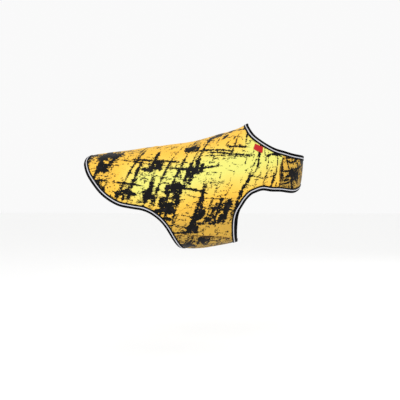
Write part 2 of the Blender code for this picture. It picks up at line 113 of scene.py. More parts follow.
# Finer creases that only the dressed cloth has, on the right and then on the left.
RIGHT_CREASES = (
    (9.0, 96, 46, 9, 62, -0.9), (9.4, 98, 40, 8, 82, 0.7), (8.5, 104, 52, 9, 35, -0.8),
    (10.2, 100, 44, 9, -58, -0.8), (4.6, 108, 60, 10, -38, 0.8), (4.2, 100, 66, 11, -24, -0.9),
    (2.2, 70, 52, 10, 58, 0.7), (1.9, 48, 46, 9, 70, -0.7), (12.2, 88, 34, 8, 74, 0.5),
    (7.8, 128, 50, 9, 80, -0.7), (4.35, 8, 34, 13, 86, 1.7), (5.6, 5, 46, 12, 78, -0.9),
    (6.0, 126, 48, 10, -62, 0.6), (11.2, 46, 46, 10, -66, -0.6),
)
LEFT_CREASES = (
    (9.1, 99, 50, 9, 68, -0.9), (8.7, 92, 42, 9, 48, 0.7), (10.0, 103, 40, 8, -70, -0.7),
    (4.9, 104, 58, 10, -30, -0.9), (4.3, 92, 70, 12, -18, 0.7), (2.6, 76, 50, 10, 52, -0.7),
    (2.0, 40, 44, 9, 64, 0.6), (12.0, 80, 36, 8, 66, -0.5), (7.5, 132, 46, 9, 74, 0.6),
)

# Sizes in mm; LIFT_FROM, LIFT_TO and LABEL_TURN are in degrees, and LABEL_PLACE is a place.
CLOTH = 2.0
GAP = 0.3
TAPE = 0.8
TAPE_OUTSIDE = 11.5
TAPE_EDGE = 12.2
TAPE_INSIDE = 11.5
STRIPE_FROM = 6.15
STRIPE_TO = 8.45
LAP_HALF = 23.0
LAP_LIFT = 4.5
LIFT_FROM = 122.0
LIFT_TO = 158.0
LABEL_PLACE = (11.45, 69.3)
LABEL_LONG = 25.5
LABEL_HIGH = 14.0
LABEL_TURN = 28.0
LABEL = 0.7
PAD_INSET = 1.0
LOOP_PAD = 0.8
HOOK_PAD = 0.7

# Steps of each stretch between marks and of each grid between edges; FINE splits each one.
FINE = 8
HEM_COUNTS = (11, 5, 7, 3, 4)
NECK_COUNTS = (11, 3, 4, 4)
LEG_COUNTS = (4, 4, 3, 3, 7, 3, 4)
COLS_REAR = 10
COLS_OVER_LEG = 3
COLS_FRONT = 5
SPINE_STEPS = 400
# Points between two rows of an edge's curve, and rows carried over its ends.
DENSE = 24
CARRIED = 4
# The cloth node of each band.
CLOTH_OF = {"belly": "belly_band", "chest": "chest_strap"}
# Zones of painted highlight in pale yellow, in mm: distance round the body, width, and where each starts
# and how it fades in.
LEMON_HIGHLIGHT_ZONES = ((140, 50, -250, 90), (122, 72, 50, 70))


class Side(Enum):
    """A side of the wearer: the sign that its angles carry."""

    RIGHT = 1
    LEFT = -1


def eased(value: Array) -> Array:
    """0 to 1 with a level start and end: three squares less two cubes."""
    value = np.clip(value, 0.0, 1.0)
    return value * value * (3 - 2 * value)


def through(values: Array, place: Array) -> Array:
    """A smooth curve through values, read at fractional places (Catmull-Rom).

    Args:
        values: The values that the curve passes through.
        place: Fractional indices into them.

    Returns:
        The curve's values at those places.
    """
    last = len(values) - 1
    first = np.clip(np.floor(place).astype(int), 0, last - 1)
    part = place - first
    one = values[first]
    two = values[first + 1]
    zero = np.where(first == 0, 2 * one - two, values[np.maximum(first - 1, 0)])
    three = np.where(first == last - 1, 2 * two - one, values[np.minimum(first + 2, last)])
    bend = 2 * zero - 5 * one + 4 * two - three
    twist = 3 * one - zero - 3 * two + three
    return 0.5 * (2 * one + (two - zero) * part + bend * part ** 2 + twist * part ** 3)


def smooth(points: Array, place: Array) -> Array:
    """A smooth curve through places, read at fractional indices."""
    return np.stack([through(points[:, 0], place), through(points[:, 1], place)], -1)


def unit(vectors: Array) -> Array:
    """The same directions with length 1."""
    return vectors / np.linalg.norm(vectors, axis=-1, keepdims=True)


def mirrored(places: Array) -> Array:
    """The same places on the other side of the body."""
    return places * [1, -1]


@dataclass(frozen=True)
class BodySurface:
    """The surface that the cape's cloth follows, with its folds and the lift of its laps."""

    sections: Rows = SECTIONS
    lap_lift: float = LAP_LIFT

    def bare(self, places: Array) -> Array:
        """Points in mm: each ring is an egg-shaped loop between its back and its belly point.

        Args:
            places: Stations and angles.

        Returns:
            Their points in mm.
        """
        table = np.array(self.sections, float)
        ring = {name: through(table[:, k], places[..., 0]) for k, name in enumerate(SECTION_COLUMNS)}
        turn = np.radians(places[..., 1])
        up = np.cos(turn)
        x = (ring["back_x"] + ring["belly_x"]) / 2 + (ring["back_x"] - ring["belly_x"]) / 2 * up
        z = (ring["back_z"] + ring["belly_z"]) / 2 + (ring["back_z"] - ring["belly_z"]) / 2 * up
        y = -ring["half_width"] * np.sin(turn) * (1 + ring["high"] * up + ring["square"] * up ** 2)
        return np.stack([x, y, z], -1)

    def slopes(self, places: Array) -> tuple[Array, Array, Array]:
        """How the surface moves for one station and for one degree, and its outward normal.

        Args:
            places: Stations and angles.

        Returns:
            Both movements in mm, and the normal.
        """
        step = 0.001
        along = (self.bare(places + [step, 0]) - self.bare(places - [step, 0])) / (2 * step)
        around = (self.bare(places + [0, step]) - self.bare(places - [0, step])) / (2 * step)
        normal = np.cross(along, around)
        return along, around, -normal / np.linalg.norm(normal, axis=-1, keepdims=True)

    def ridges(self, spot: Array, table: Rows) -> Array:
        """Height of long rounded ridges and troughs: a bell along and across each one.

        Args:
            spot: Points in mm.
            table: Rows of FOLD_COLUMNS.

        Returns:
            The height at each point in mm.
        """
        height = np.zeros(spot.shape[:-1])
        for entry in table:
            row = dict(zip(FOLD_COLUMNS, entry))
            centre = np.array([row["station"], row["angle"]], float)
            along, around, _ = self.slopes(centre)
            along = along / np.linalg.norm(along)
            around = around / np.linalg.norm(around)
            turn = math.radians(row["turn"])
            run = along * math.cos(turn) + around * math.sin(turn)
            across = around * math.cos(turn) - along * math.sin(turn)
            reach = spot - self.bare(centre)
            far = (reach @ run / (row["length"] / 2)) ** 2 + (reach @ across / (row["width"] / 2)) ** 2
            height = height + row["depth"] * np.exp(-far)
        return height

    def folds(self, places: Array) -> Array:
        """All the folds and creases: the large ones on both sides, the fine ones on their own.

        Args:
            places: Stations and angles.

        Returns:
            The height at each place in mm.
        """
        folded_angle = 180 - np.abs(180 - np.abs(places[..., 1]))
        spot = self.bare(np.stack([places[..., 0], folded_angle], -1))
        right = places[..., 1] > 0
        fine = np.where(right, self.ridges(spot, RIGHT_CREASES), self.ridges(spot, LEFT_CREASES))
        return self.ridges(spot, FOLDS) + fine

    def lift(self, places: Array) -> Array:
        """Height that the right side's pieces gain before they lap over the left side's."""
        return self.lap_lift * eased((places[..., 1] - LIFT_FROM) / (LIFT_TO - LIFT_FROM))

    def raised(self, places: Array, height: Array | float) -> Array:
        """Points at a height above the cloth's inner face, in metres."""
        total = height + self.lift(places) + self.folds(places)
        return (self.bare(places) + self.slopes(places)[2] * total[..., None]) * MM


SURFACE = BodySurface()


def lengths(curve: Array) -> Array:
    """Length in mm along a curve of places, up to each of its points."""
    parts = np.linalg.norm(np.diff(SURFACE.bare(curve), axis=0), axis=1)
    return np.concatenate([[0.0], np.cumsum(parts)])


def read_at(curve: Array, wanted: Array) -> Array:
    """The places of a curve at wanted lengths in mm."""
    measured = lengths(curve)
    return np.stack([np.interp(wanted, measured, curve[:, k]) for k in (0, 1)], -1)


def divided(curve: Array, marks: Sequence[float], counts: Sequence[int]) -> Array:
    """Points along a curve, with an even step in each stretch between marks.

    Args:
        curve: Dense places.
        marks: Lengths along it, in mm.
        counts: Steps between each mark and the next.

    Returns:
        The places of all steps.
    """
    runs = [np.linspace(a, b, count + 1)[:-1] for a, b, count in zip(marks, marks[1:], counts)]
    return read_at(curve, np.concatenate(runs + [np.array(marks[-1:])]))


def edge_curve(rows: Rows) -> Array:
    """A dense smooth curve through an edge's rows, carried over the centre line at both ends.

    Args:
        rows: Places along the edge.

    Returns:
        The places of the curve.
    """
    rows = np.array(rows, float)
    before = rows[CARRIED:0:-1] * [1, -1] + [0, 2 * rows[0, 1]]
    past = rows[-2:-2 - CARRIED:-1] * [1, -1] + [0, 2 * rows[-1, 1]]
    points = np.concatenate([before, rows, past])
    place = np.linspace(0, len(points) - 1, (len(points) - 1) * DENSE + 1)
    return smooth(points, place)


def length_at(curve: Array, mark: Sequence[float]) -> float:
    """Length along a curve to its point nearest a mark."""
    apart = np.linalg.norm(SURFACE.bare(curve) - SURFACE.bare(np.array(mark, float)), axis=1)
    return float(lengths(curve)[apart.argmin()])


def beside(points: Array, distance: float, side: int) -> Array:
    """Places moved over the surface by a distance, square to the line that they form.

    Args:
        points: The line's places.
        distance: How far they move, in mm.
        side: 1 or -1, for the side that they move to.

    Returns:
        The moved places.
    """
    along, around, normal = SURFACE.slopes(points)
    across = unit(side * np.cross(normal, np.gradient(SURFACE.bare(points), axis=0)))
    aa, ab, bb = (along * along).sum(-1), (along * around).sum(-1), (around * around).sum(-1)
    pa, pb = (across * along).sum(-1) * distance, (across * around).sum(-1) * distance
    spread = aa * bb - ab * ab
    return points + np.stack([(pa * bb - pb * ab) / spread, (pb * aa - pa * ab) / spread], -1)


def nudged(point: Array, towards: Array, distance: float) -> Array:
    """A place moved a distance in mm towards another."""
    apart = np.linalg.norm(SURFACE.bare(towards) - SURFACE.bare(point), axis=-1)
    return point + (towards - point) * (distance / apart)[..., None]


def shortened(strip: Array, start: float, end: float) -> Array:
    """Rows of stations with their ends drawn in by lengths in mm.

    Args:
        strip: Rows of places.
        start: What the first end loses.
        end: What the last end loses.

    Returns:
        The shorter rows.
    """
    strip = strip.copy()
    strip[:, 0] = nudged(strip[:, 0], strip[:, 1], start)
    strip[:, -1] = nudged(strip[:, -1], strip[:, -2], end)
    return strip


def drawn_in(grid: Array, distance: float) -> Array:
    """A grid whose last row moves back by a distance in mm, and the rows before it by less and less.

    Args:
        grid: Rows of places.
        distance: How far the last row moves.

    Returns:
        The moved grid.
    """
    back = grid[-1 - FINE] - grid[-1]
    apart = np.linalg.norm(SURFACE.bare(grid[-1 - FINE]) - SURFACE.bare(grid[-1]), axis=-1)[:, None]
    share = np.linspace(0, 1, FINE + 1)[:, None, None]
    moved = grid.copy()
    moved[-1 - FINE:] += share * (back * (distance / apart))[None]
    return moved


def line(start: Array, end: Array, count: int, via: Rows = ()) -> Array:
    """A smooth line of even steps between two places, through the rows between them.

    Args:
        start: The first place.
        end: The last place.
        count: How many steps.
        via: Places between them.

    Returns:
        The places of all steps.
    """
    points = np.array([tuple(start)] + [tuple(row) for row in via] + [tuple(end)], float)
    place = np.linspace(0, len(points) - 1, len(points) * DENSE)
    curve = smooth(points, place)
    return divided(curve, [0.0, lengths(curve)[-1]], [count])


def spread_over(left: Array, right: Array, top: Array, bottom: Array) -> Array:
    """A grid between four border lines: each pair's blend, less the blend of the corners.

    Args:
        left: The grid's first column.
        right: Its last column.
        top: Its first row.
        bottom: Its last row.

    Returns:
        The grid's places.
    """
    down = np.linspace(0, 1, len(left))[:, None, None]
    along = np.linspace(0, 1, len(top))[None, :, None]
    sides = left[:, None] * (1 - along) + right[:, None] * along
    ends = top[None] * (1 - down) + bottom[None] * down
    upper = top[0] * (1 - along) + top[-1] * along
    lower = bottom[0] * (1 - along) + bottom[-1] * along
    return sides + ends - upper * (1 - down) - lower * down


def moved_round(places: Rows, shift: float) -> Array:
    """Places moved round the body by a distance in mm."""
    moved = np.array(places, float)
    moved[:, 1] += shift / np.linalg.norm(SURFACE.slopes(moved)[1], axis=-1)
    return moved


def steps(counts: Sequence[int], upto: int) -> int:
    """How many fine steps the first groups of a list of counts take."""
    return FINE * sum(counts[:upto])


def at(strip: Array, distance: float) -> Array:
    """The line of a bound edge at a distance in mm from its finished edge."""
    return strip[0] + (strip[1] - strip[0]) * (distance / TAPE_OUTSIDE)


def rows_between(strip: Array, start: float, end: float, count: int) -> Array:
    """Several lines of a bound edge, between two distances from its finished edge."""
    return np.stack([at(strip, far) for far in np.linspace(start, end, count + 1)])


@dataclass
class Pattern:
    """The cape's pattern on the surface: bound edges as pairs of lines, and the cloth's grids."""

    hem: Array = field(init=False)
    neck: Array = field(init=False)
    leg: Array = field(init=False)

    def __post_init__(self) -> None:
        """Divides each edge into its stations and finds the line a tape's width inside it."""
        hem, neck, leg = edge_curve(HEM_EDGE), edge_curve(NECK_EDGE), edge_curve(LEG_EDGE)
        fine = [[count * FINE for count in counts] for counts in (HEM_COUNTS, NECK_COUNTS, LEG_COUNTS)]
        belly, breast = length_at(hem, HEM_EDGE[-1]), length_at(neck, NECK_EDGE[-1])
        laps = (-LAP_HALF, LAP_HALF)
        marks = [length_at(hem, mark) for mark in (HEM_EDGE[0],) + HEM_MARKS]
        self.hem = self.all_round(divided(hem, marks + [belly + lap for lap in laps], fine[0]), -1)
        marks = [length_at(neck, mark) for mark in (NECK_EDGE[0],) + NECK_MARKS]
        self.neck = self.all_round(divided(neck, marks + [breast + lap for lap in laps], fine[1]), 1)
        start, end = length_at(leg, LEG_EDGE[0]), length_at(leg, LEG_EDGE[-1])
        marks = [start + lap for lap in laps] + [length_at(leg, mark) for mark in LEG_MARKS]
        leg_line = divided(leg, marks + [end + lap for lap in laps], fine[2])
        self.leg = np.stack([leg_line, beside(leg_line, TAPE_OUTSIDE, -1)])

    @staticmethod
    def all_round(half: Array, side: int) -> Array:
        """A pair of lines from the right end over the centre back to the left end."""
        whole = np.concatenate([half[::-1], mirrored(half[1:])])
        return np.stack([whole, beside(whole, TAPE_OUTSIDE, side)])

    @staticmethod
    def run(strip: Array, start: int, end: int) -> Array:
        """Stations of the right half of a strip, counted from the centre back."""
        middle = strip.shape[1] // 2
        return strip[:, middle - start:middle - end - 1 if end < middle else None:-1]

    def cloth_edge(self, strip: Array) -> Array:
        """The cloth inside a folded tape, from short of the fold to the tape's inner edge."""
        return rows_between(strip, 2 * TAPE, TAPE_OUTSIDE, 3)

    def body(self) -> list[Array]:
        """The grids of the body panel: back, flanks, shoulders and the cloth under the tape.

        Returns:
            The grids, those of the right half first.
        """
        hem = shortened(self.run(self.hem, 0, steps(HEM_COUNTS, 3)), 0.0, GAP / 2)
        neck = shortened(self.run(self.neck, 0, steps(NECK_COUNTS, 2)), 0.0, GAP / 2)
        leg = self.leg[:, steps(LEG_COUNTS, 2):steps(LEG_COUNTS, 5) + 1]
        leg = shortened(leg, GAP / 2, GAP / 2)
        back = HEM_COUNTS[0] * FINE
        flank = steps(HEM_COUNTS, 2)
        front = LEG_COUNTS[2] * FINE
        rear = front + COLS_OVER_LEG * FINE
        rear_line = line(hem[1][flank], leg[1][rear], COLS_REAR * FINE)
        front_line = line(leg[1][front], neck[1][back], COLS_FRONT * FINE)
        over_leg = leg[1][front:rear + 1][::-1]
        lower = np.concatenate([hem[1][back:flank], rear_line, over_leg[1:], front_line[1:]])
        spine = line(hem[1][0], neck[1][0], SPINE_STEPS)
        share = lengths(lower) / lengths(lower)[-1] * lengths(spine)[-1]
        spine = divided(spine, list(share), [1] * (len(lower) - 1))
        upper = spread_over(hem[1][:back + 1], neck[1][:back + 1], spine, lower)
        belly_seam = line(hem[1][-1], leg[1][-1], COLS_REAR * FINE, moved_round(BELLY_SEAM, -GAP / 2))
        side = spread_over(hem[1][flank:], leg[1][rear:], rear_line, belly_seam)
        chest_seam = line(leg[1][0], neck[1][-1], COLS_FRONT * FINE, moved_round(CHEST_SEAM, -GAP / 2))
        shoulder = spread_over(leg[1][:front + 1][::-1], neck[1][back:], front_line, chest_seam)
        half = [upper[:, ::-1], side, shoulder] + [self.cloth_edge(strip) for strip in (leg, hem, neck)]
        return half + [mirrored(grid) for grid in half]

    def belly(self) -> Band:
        """The right belly band: hem strip, leg strip and the grid between them."""
        hem = self.run(self.hem, steps(HEM_COUNTS, 3), steps(HEM_COUNTS, 5))
        return self.band(hem, self.leg[:, steps(LEG_COUNTS, 5):], COLS_REAR * FINE, BELLY_SEAM)

    def chest(self) -> Band:
        """The right chest strap: leg strip, neck strip and the grid between them.

        Returns:
            Both edges and the grid.
        """
        neck = self.run(self.neck, steps(NECK_COUNTS, 2), steps(NECK_COUNTS, 4))
        leg = self.leg[:, :steps(LEG_COUNTS, 2) + 1][:, ::-1]
        return self.band(leg, neck, COLS_FRONT * FINE, CHEST_SEAM)

    def bands(self) -> dict[str, Band]:
        """Both bands of the right side."""
        return {"belly": self.belly(), "chest": self.chest()}

    @staticmethod
    def band(rear: Array, front: Array, count: int, rows: Rows) -> Band:
        """Two bound edges, drawn in at the seam, and the grid between them.

        Args:
            rear: The rear edge.
            front: The front edge.
            count: Steps from one to the other.
            rows: Places along the seam.

        Returns:
            Both edges and the grid.
        """
        rear = shortened(rear, GAP / 2, 0.0)
        front = shortened(front, GAP / 2, 0.0)
        joint = line(rear[1][0], front[1][0], count, moved_round(rows, GAP / 2))
        end = line(rear[1][-1], front[1][-1], count)
        return rear, front, spread_over(rear[1], front[1], joint, end)

    def band_cloth(self, rear: Array, front: Array, inside: Array) -> list[Array]:
        """The grids of a band's cloth, which ends inside the folded tape of its lap end.

        Args:
            rear: The rear edge.
            front: The front edge.
            inside: The grid between them.

        Returns:
            The grids.
        """
        cloth = drawn_in(inside, 2 * TAPE)
        turned = [drawn_in(strip.transpose(1, 0, 2), 2 * TAPE) for strip in (rear, front)]
        return [cloth] + [self.cloth_edge(strip.transpose(1, 0, 2)) for strip in turned]

    @staticmethod
    def pad(inside: Array) -> Array:
        """The middle of a lap, between its two bound ends, drawn in by the pad's inset."""
        grid = shortened(inside[-1 - 3 * FINE:-FINE], PAD_INSET, PAD_INSET)
        return shortened(grid.transpose(1, 0, 2), PAD_INSET, PAD_INSET)

    @staticmethod
    def end_strip(inside: Array) -> Array:
        """The bound end of a band, a tape's width deep, between the tapes of its long edges."""
        return shortened(np.stack([inside[-1], inside[-1 - FINE]]), GAP, GAP)


def grid_between(values: Array, station: Array, angle: Array) -> Array:
    """Values of a table on the stations and angles of ClothMap, read between its points.

    Args:
        values: The table.
        station: Stations to read at.
        angle: Angles to read at.

    Returns:
        The values there.
    """
    i = np.clip(station / ClothMap.STATION_STEP, 0, values.shape[0] - 1.001)
    j = np.clip(angle / ClothMap.ANGLE_STEP, 0, values.shape[1] - 1.001)
    row, column = i.astype(int), j.astype(int)
    down, right = i - row, j - column
    upper = values[row, column] * (1 - right) + values[row, column + 1] * right
    lower = values[row + 1, column] * (1 - right) + values[row + 1, column + 1] * right
    return upper * (1 - down) + lower * down


class ClothMap:
    """Lengths in mm over the cloth: along the body from the seventh station, and round it."""

    STATION_STEP = 0.125
    ANGLE_STEP = 2.0
    START = 7.0

    def __init__(self) -> None:
        """Adds up the small steps along lines of one angle, and round rings of one station."""
        stations = np.arange(0, 15 + self.STATION_STEP, self.STATION_STEP)
        angles = np.arange(0, 200 + self.ANGLE_STEP, self.ANGLE_STEP)
        places = np.stack(np.meshgrid(stations, angles, indexing="ij"), -1)
        points = SURFACE.bare(places)
        along = np.linalg.norm(np.diff(points, axis=0), axis=-1).cumsum(0)
        around = np.linalg.norm(np.diff(points, axis=1), axis=-1).cumsum(1)
        self.along = np.concatenate([np.zeros((1, len(angles))), along])
        self.along -= self.along[int(self.START / self.STATION_STEP)]
        self.around = np.concatenate([np.zeros((len(stations), 1)), around], axis=1)

    def at(self, places: Array) -> Array:
        """Both lengths at some places; the second is negative on the wearer's left.

        Args:
            places: Stations and angles.

        Returns:
            The length along and the length round, for each place.
        """
        station, angle = places[..., 0], places[..., 1]
        along = grid_between(self.along, station, np.abs(angle))
        around = grid_between(self.around, station, np.abs(angle))
        return np.stack([along, around * np.sign(angle)], -1)


CLOTH_MAP = ClothMap()


@dataclass
class Lines:
    """Lines on the cloth, with the distance from them and the length along them."""

    lines: Sequence[Array]

    def near(self, places: Array) -> tuple[Array, Array]:
        """For each place, its distance in mm from the nearest line and its length along that line.

        Args:
            places: Stations and angles.

        Returns:
            Both lengths, for each place.
        """
        spots = SURFACE.bare(places)
        best = np.full(len(places), 1e9)
        run = np.zeros(len(places))
        for curve in self.lines:
            points = SURFACE.bare(curve)
            square = (spots ** 2).sum(1)[:, None] + (points ** 2).sum(1)[None] - 2 * spots @ points.T
            nearest = square.argmin(1)
            far = np.sqrt(np.maximum(square[np.arange(len(spots)), nearest], 0.0))
            closer = far < best
            best = np.where(closer, far, best)
            run = np.where(closer, lengths(curve)[nearest], run)
        return best, run


def uneven(run: Array, wave: float, seed: int) -> Array:
    """An irregular ripple from -1 to 1 along a length: three sines of unlike waves and phases.

    Args:
        run: Lengths along the line in mm.
        wave: The main wave's length in mm.
        seed: What fixes the phases.

    Returns:
        The ripple at each length.
    """
    phase = np.random.default_rng(seed).uniform(0, 2 * math.pi, 3)
    waves = (wave, wave * 1.73, wave * 0.61)
    parts = [np.sin(2 * math.pi * run / long + start) for long, start in zip(waves, phase)]
    return (parts[0] + 0.7 * parts[1] + 0.4 * parts[2]) / 2.1


# Makes one whole number of two, so that equal pairs can be found at once.
PAIR_KEY = np.array([2 ** 32, 1])


def cells(number: Array) -> Array:
    """The four-sided faces between the neighbours of a numbered grid."""
    corners = [number[:-1, :-1], number[1:, :-1], number[1:, 1:], number[:-1, 1:]]
    return np.stack(corners, -1).reshape(-1, 4)


def number_places(grids: Sequence[Array]) -> tuple[Array, Array]:
    """The shared places of grids that meet along common lines, and their four-sided faces.

    Args:
        grids: Arrays of places, shape (rows, columns, 2).

    Returns:
        The places, and rows of four indices into them.
    """
    every = np.concatenate([grid.reshape(-1, 2) for grid in grids])
    keys = np.round(every * 1e5).astype(np.int64) @ PAIR_KEY
    _, first, index = np.unique(keys, return_index=True, return_inverse=True)
    faces, start = [], 0
    for grid in grids:
        rows, columns = grid.shape[:2]
        number = index[start:start + rows * columns].reshape(rows, columns)
        start += rows * columns
        faces.append(cells(number))
    return every[first], np.concatenate(faces)


def crossed(points: Array, faces: Array) -> Array:
    """Each face's normal, twice as long as its area: its diagonals' cross product."""
    corner = points[faces]
    return np.cross(corner[:, 2] - corner[:, 0], corner[:, 3] - corner[:, 1])


def facing_out(points: Array, faces: Array, outward: Array) -> Array:
    """The faces, with those turned round whose normal points against the outward direction.

    Args:
        points: The points.
        faces: Rows of four indices into them.
        outward: The outward direction at each point.

    Returns:
        The faces.
    """
    wrong = (crossed(points, faces) * outward[faces[:, 0]]).sum(1) < 0
    return np.where(wrong[:, None], faces[:, ::-1], faces)


def border(faces: Array) -> Array:
    """The edges that only one face has, in that face's own direction.

    Args:
        faces: Rows of four point numbers.

    Returns:
        Rows of two point numbers.
    """
    edges = np.concatenate([faces[:, [k, (k + 1) % 4]] for k in range(4)])
    keys = np.sort(edges, axis=1).astype(np.int64) @ PAIR_KEY
    _, index, count = np.unique(keys, return_index=True, return_counts=True)
    return edges[index[count == 1]]


@dataclass
class Skin:
    """A mesh in the making: points in metres, faces, the place of each point and its values."""

    points: Array
    faces: Array
    places: Array
    inner_from: int | None = None
    values: dict[str, Array] = field(default_factory=dict)

    def made(self, name: str, inks: Sequence[bpy.types.Material]) -> Object:
        """A smooth mesh object at the origin, with the cloth's lengths as its UV map.

        Args:
            name: The piece's name.
            inks: Its materials; the second one is for faces from inner_from on.

        Returns:
            The new object.
        """
        mesh = bpy.data.meshes.new(name)
        mesh.from_pydata(self.points.tolist(), [], self.faces.tolist())
        for ink in inks:
            mesh.materials.append(ink)
        mesh.polygons.foreach_set("use_smooth", np.ones(len(mesh.polygons), bool))
        if self.inner_from is not None and len(inks) > 1:
            number = (np.arange(len(mesh.polygons)) >= self.inner_from).astype(np.int32)
            mesh.polygons.foreach_set("material_index", number)
        corner = np.empty(len(mesh.loops), np.int32)
        mesh.loops.foreach_get("vertex_index", corner)
        layer = mesh.uv_layers.new(name="Cloth")
        layer.data.foreach_set("uv", (CLOTH_MAP.at(self.places)[corner] * MM).astype(np.float32).ravel())
        for key, value in self.values.items():
            attribute = mesh.attributes.new(key, "FLOAT", "POINT")
            attribute.data.foreach_set("value", value.astype(np.float32))
        mesh.update()
        made = bpy.data.objects.new(name, mesh)
        bpy.context.scene.collection.objects.link(made)
        return made


def closed(places: Array, faces: Array, outer: Array, inner: Array) -> Skin:
    """Two sides over the same places, joined by a rim of one face for each edge of their border.

    Args:
        places: The places.
        faces: Faces between them.
        outer: Points of the outer side, in metres.
        inner: Points of the inner side.

    Returns:
        The closed sheet; its faces from inner_from on are the inner side and the rim.
    """
    faces = facing_out(outer, faces, SURFACE.slopes(places)[2])
    edge, count = border(faces), len(places)
    rim = np.stack([edge[:, 1], edge[:, 0], edge[:, 0] + count, edge[:, 1] + count], -1)
    every = np.concatenate([faces, faces[:, ::-1] + count, rim])
    return Skin(np.concatenate([outer, inner]), every, np.concatenate([places, places]), len(faces))


def closed_sheet(grids: Sequence[Array], low: float, relief: Callable[[Array], Array]) -> Skin:
    """A closed sheet over the places of some grids: its outer side, its inner side and its rim.

    Args:
        grids: Arrays of places that meet along common lines.
        low: Height of the inner side in mm.
        relief: A function from places to the height of the outer side in mm.

    Returns:
        The sheet.
    """
    places, faces = number_places(grids)
    return closed(places, faces, SURFACE.raised(places, relief(places)), SURFACE.raised(places, low))


def ribbon(outer: Array, inner: Array, places: Array) -> Skin:
    """A closed ribbon: its outer rows, its inner rows back again, and a row of faces at each end.

    Args:
        outer: Points of the outer face, shape (rows, stations, 3), in metres.
        inner: Points of the inner face, of the same shape.
        places: The place of each outer point.

    Returns:
        The ribbon.
    """
    rows, stations = outer.shape[:2]
    number = np.arange(2 * rows * stations).reshape(2 * rows, stations)
    sides = cells(np.concatenate([number, number[:1]]))
    back = number[::-1]
    first = np.stack([number[:rows - 1, 0], back[:rows - 1, 0],
                      back[1:rows, 0], number[1:rows, 0]], -1)
    last = np.stack([number[:rows - 1, -1], number[1:rows, -1],
                     back[1:rows, -1], back[:rows - 1, -1]], -1)
    faces = np.concatenate([sides, first, last])
    points = np.concatenate([outer, inner[::-1]]).reshape(-1, 3)
    middle = stations // 2
    corner = points[[number[0, middle], number[1, middle], number[0, middle + 1]]]
    normal = np.cross(corner[1] - corner[0], corner[2] - corner[0])
    if normal @ SURFACE.slopes(places[0, middle])[2] < 0:
        faces = faces[:, ::-1]
    return Skin(points, faces, np.concatenate([places, places[::-1]]).reshape(-1, 2))


@dataclass(frozen=True)
class Stitch:
    """A stitch in mm: a small rounded bar of a few rings, whose ends sink into the cloth."""

    pitch: float
    long: float
    thick: float
    flat: float = 0.8
    corners: int = 6
    start: float = 0.75
    along: tuple[float, ...] = (-0.5, -0.36, 0.0, 0.36, 0.5)
    girth: tuple[float, ...] = (0.25, 0.85, 1.0, 0.85, 0.25)
    sink: tuple[float, ...] = (-0.9, -0.2, 0.0, -0.2, -0.9)

    def row(self, curve: Array, height: float) -> Skin:
        """A row of stitches along a seam, end to end with gaps.

        A bar's points are its centre, plus each ring's share of the length along the seam, plus the
        ring's girth times the cosine of a corner across it, and times the sine upwards.

        Args:
            curve: Places of the seam.
            height: Height of the thread's middle over the inner face in mm.

        Returns:
            The bars as one mesh.
        """
        count = max(int((lengths(curve)[-1] - self.pitch) / self.pitch), 1)
        middle = self.pitch * (np.arange(count) + self.start)
        row, ahead = read_at(curve, middle), read_at(curve, middle + 0.5)
        centre = SURFACE.raised(row, height)
        run = unit(SURFACE.raised(ahead, height) - centre)
        normal = SURFACE.slopes(row)[2]
        side = unit(np.cross(normal, run))
        rings, corners = len(self.along), self.corners
        girth = np.array(self.girth)[:, None] * self.thick / 2
        turn = np.radians(np.arange(0, 360, 360 // corners))
        along = np.broadcast_to(np.array(self.along)[:, None] * self.long, (rings, corners))
        across = girth * np.cos(turn)
        upward = girth * np.sin(turn) * self.flat + np.array(self.sink)[:, None] * self.thick / 2
        parts = ((along, run), (across, side), (upward, normal))
        shape = sum(far[None, ..., None] * way[:, None, None] for far, way in parts) * MM
        points = (centre[:, None, None] + shape).reshape(-1, 3)
        each = rings * corners
        number = np.arange(each).reshape(rings, corners)
        after = np.roll(number, -1, axis=1)
        sides = np.stack([number[:-1], after[:-1], after[1:], number[1:]], -1).reshape(-1, 4)
        # Two faces close each end; they count on five rings of six corners.
        caps = np.array([[0, 5, 4, 3], [0, 3, 2, 1], [24, 25, 26, 27], [24, 27, 28, 29]])
        bar = np.concatenate([sides, caps])
        faces = (bar[None] + each * np.arange(count)[:, None, None]).reshape(-1, 4)
        return Skin(points, faces, np.repeat(row, each, axis=0))


def together(skins: Sequence[Skin]) -> Skin:
    """Several meshes as one."""
    starts = np.cumsum([0] + [len(skin.points) for skin in skins])
    faces = np.concatenate([skin.faces + start for skin, start in zip(skins, starts)])
    return Skin(np.concatenate([skin.points for skin in skins]), faces,
                np.concatenate([skin.places for skin in skins]))


def linear(colour: str) -> tuple[float, float, float, float]:
    """An sRGB hex colour in linear light.

    Args:
        colour: Six hex digits after a hash sign.

    Returns:
        Red, green, blue and 1.
    """
    parts = [int(colour[k:k + 2], 16) / 255 for k in (1, 3, 5)]
    light = [part / 12.92 if part <= 0.04045 else ((part + 0.055) / 1.055) ** 2.4 for part in parts]
    return (light[0], light[1], light[2], 1.0)


def add_node(tree: Tree, kind: str, links: dict[int | str, Socket] | None = None,
             values: dict[int | str, object] | None = None, **settings: object) -> bpy.types.Node:
    """A new node with its settings, its inputs' own values and what is linked into them.

    Args:
        tree: Where the node goes.
        kind: Its type.
        links: What is linked into its inputs.
        values: Its inputs' own values.
        settings: Its properties.

    Returns:
        The node.
    """
    node = tree.nodes.new(kind)
    for name, value in settings.items():
        setattr(node, name, value)
    for name, value in (values or {}).items():
        node.inputs[name].default_value = value
    for name, source in (links or {}).items():
        tree.links.new(source, node.inputs[name])
    return node


def noise(tree: Tree, place: Socket, waves: float, detail: float, roughness: float = 0.5) -> Socket:
    """Noise from 0 to 1 with so many waves for each unit of the place."""
    values = {"Scale": waves, "Detail": detail, "Roughness": roughness}
    return add_node(tree, "ShaderNodeTexNoise", {"Vector": place}, values).outputs["Fac"]


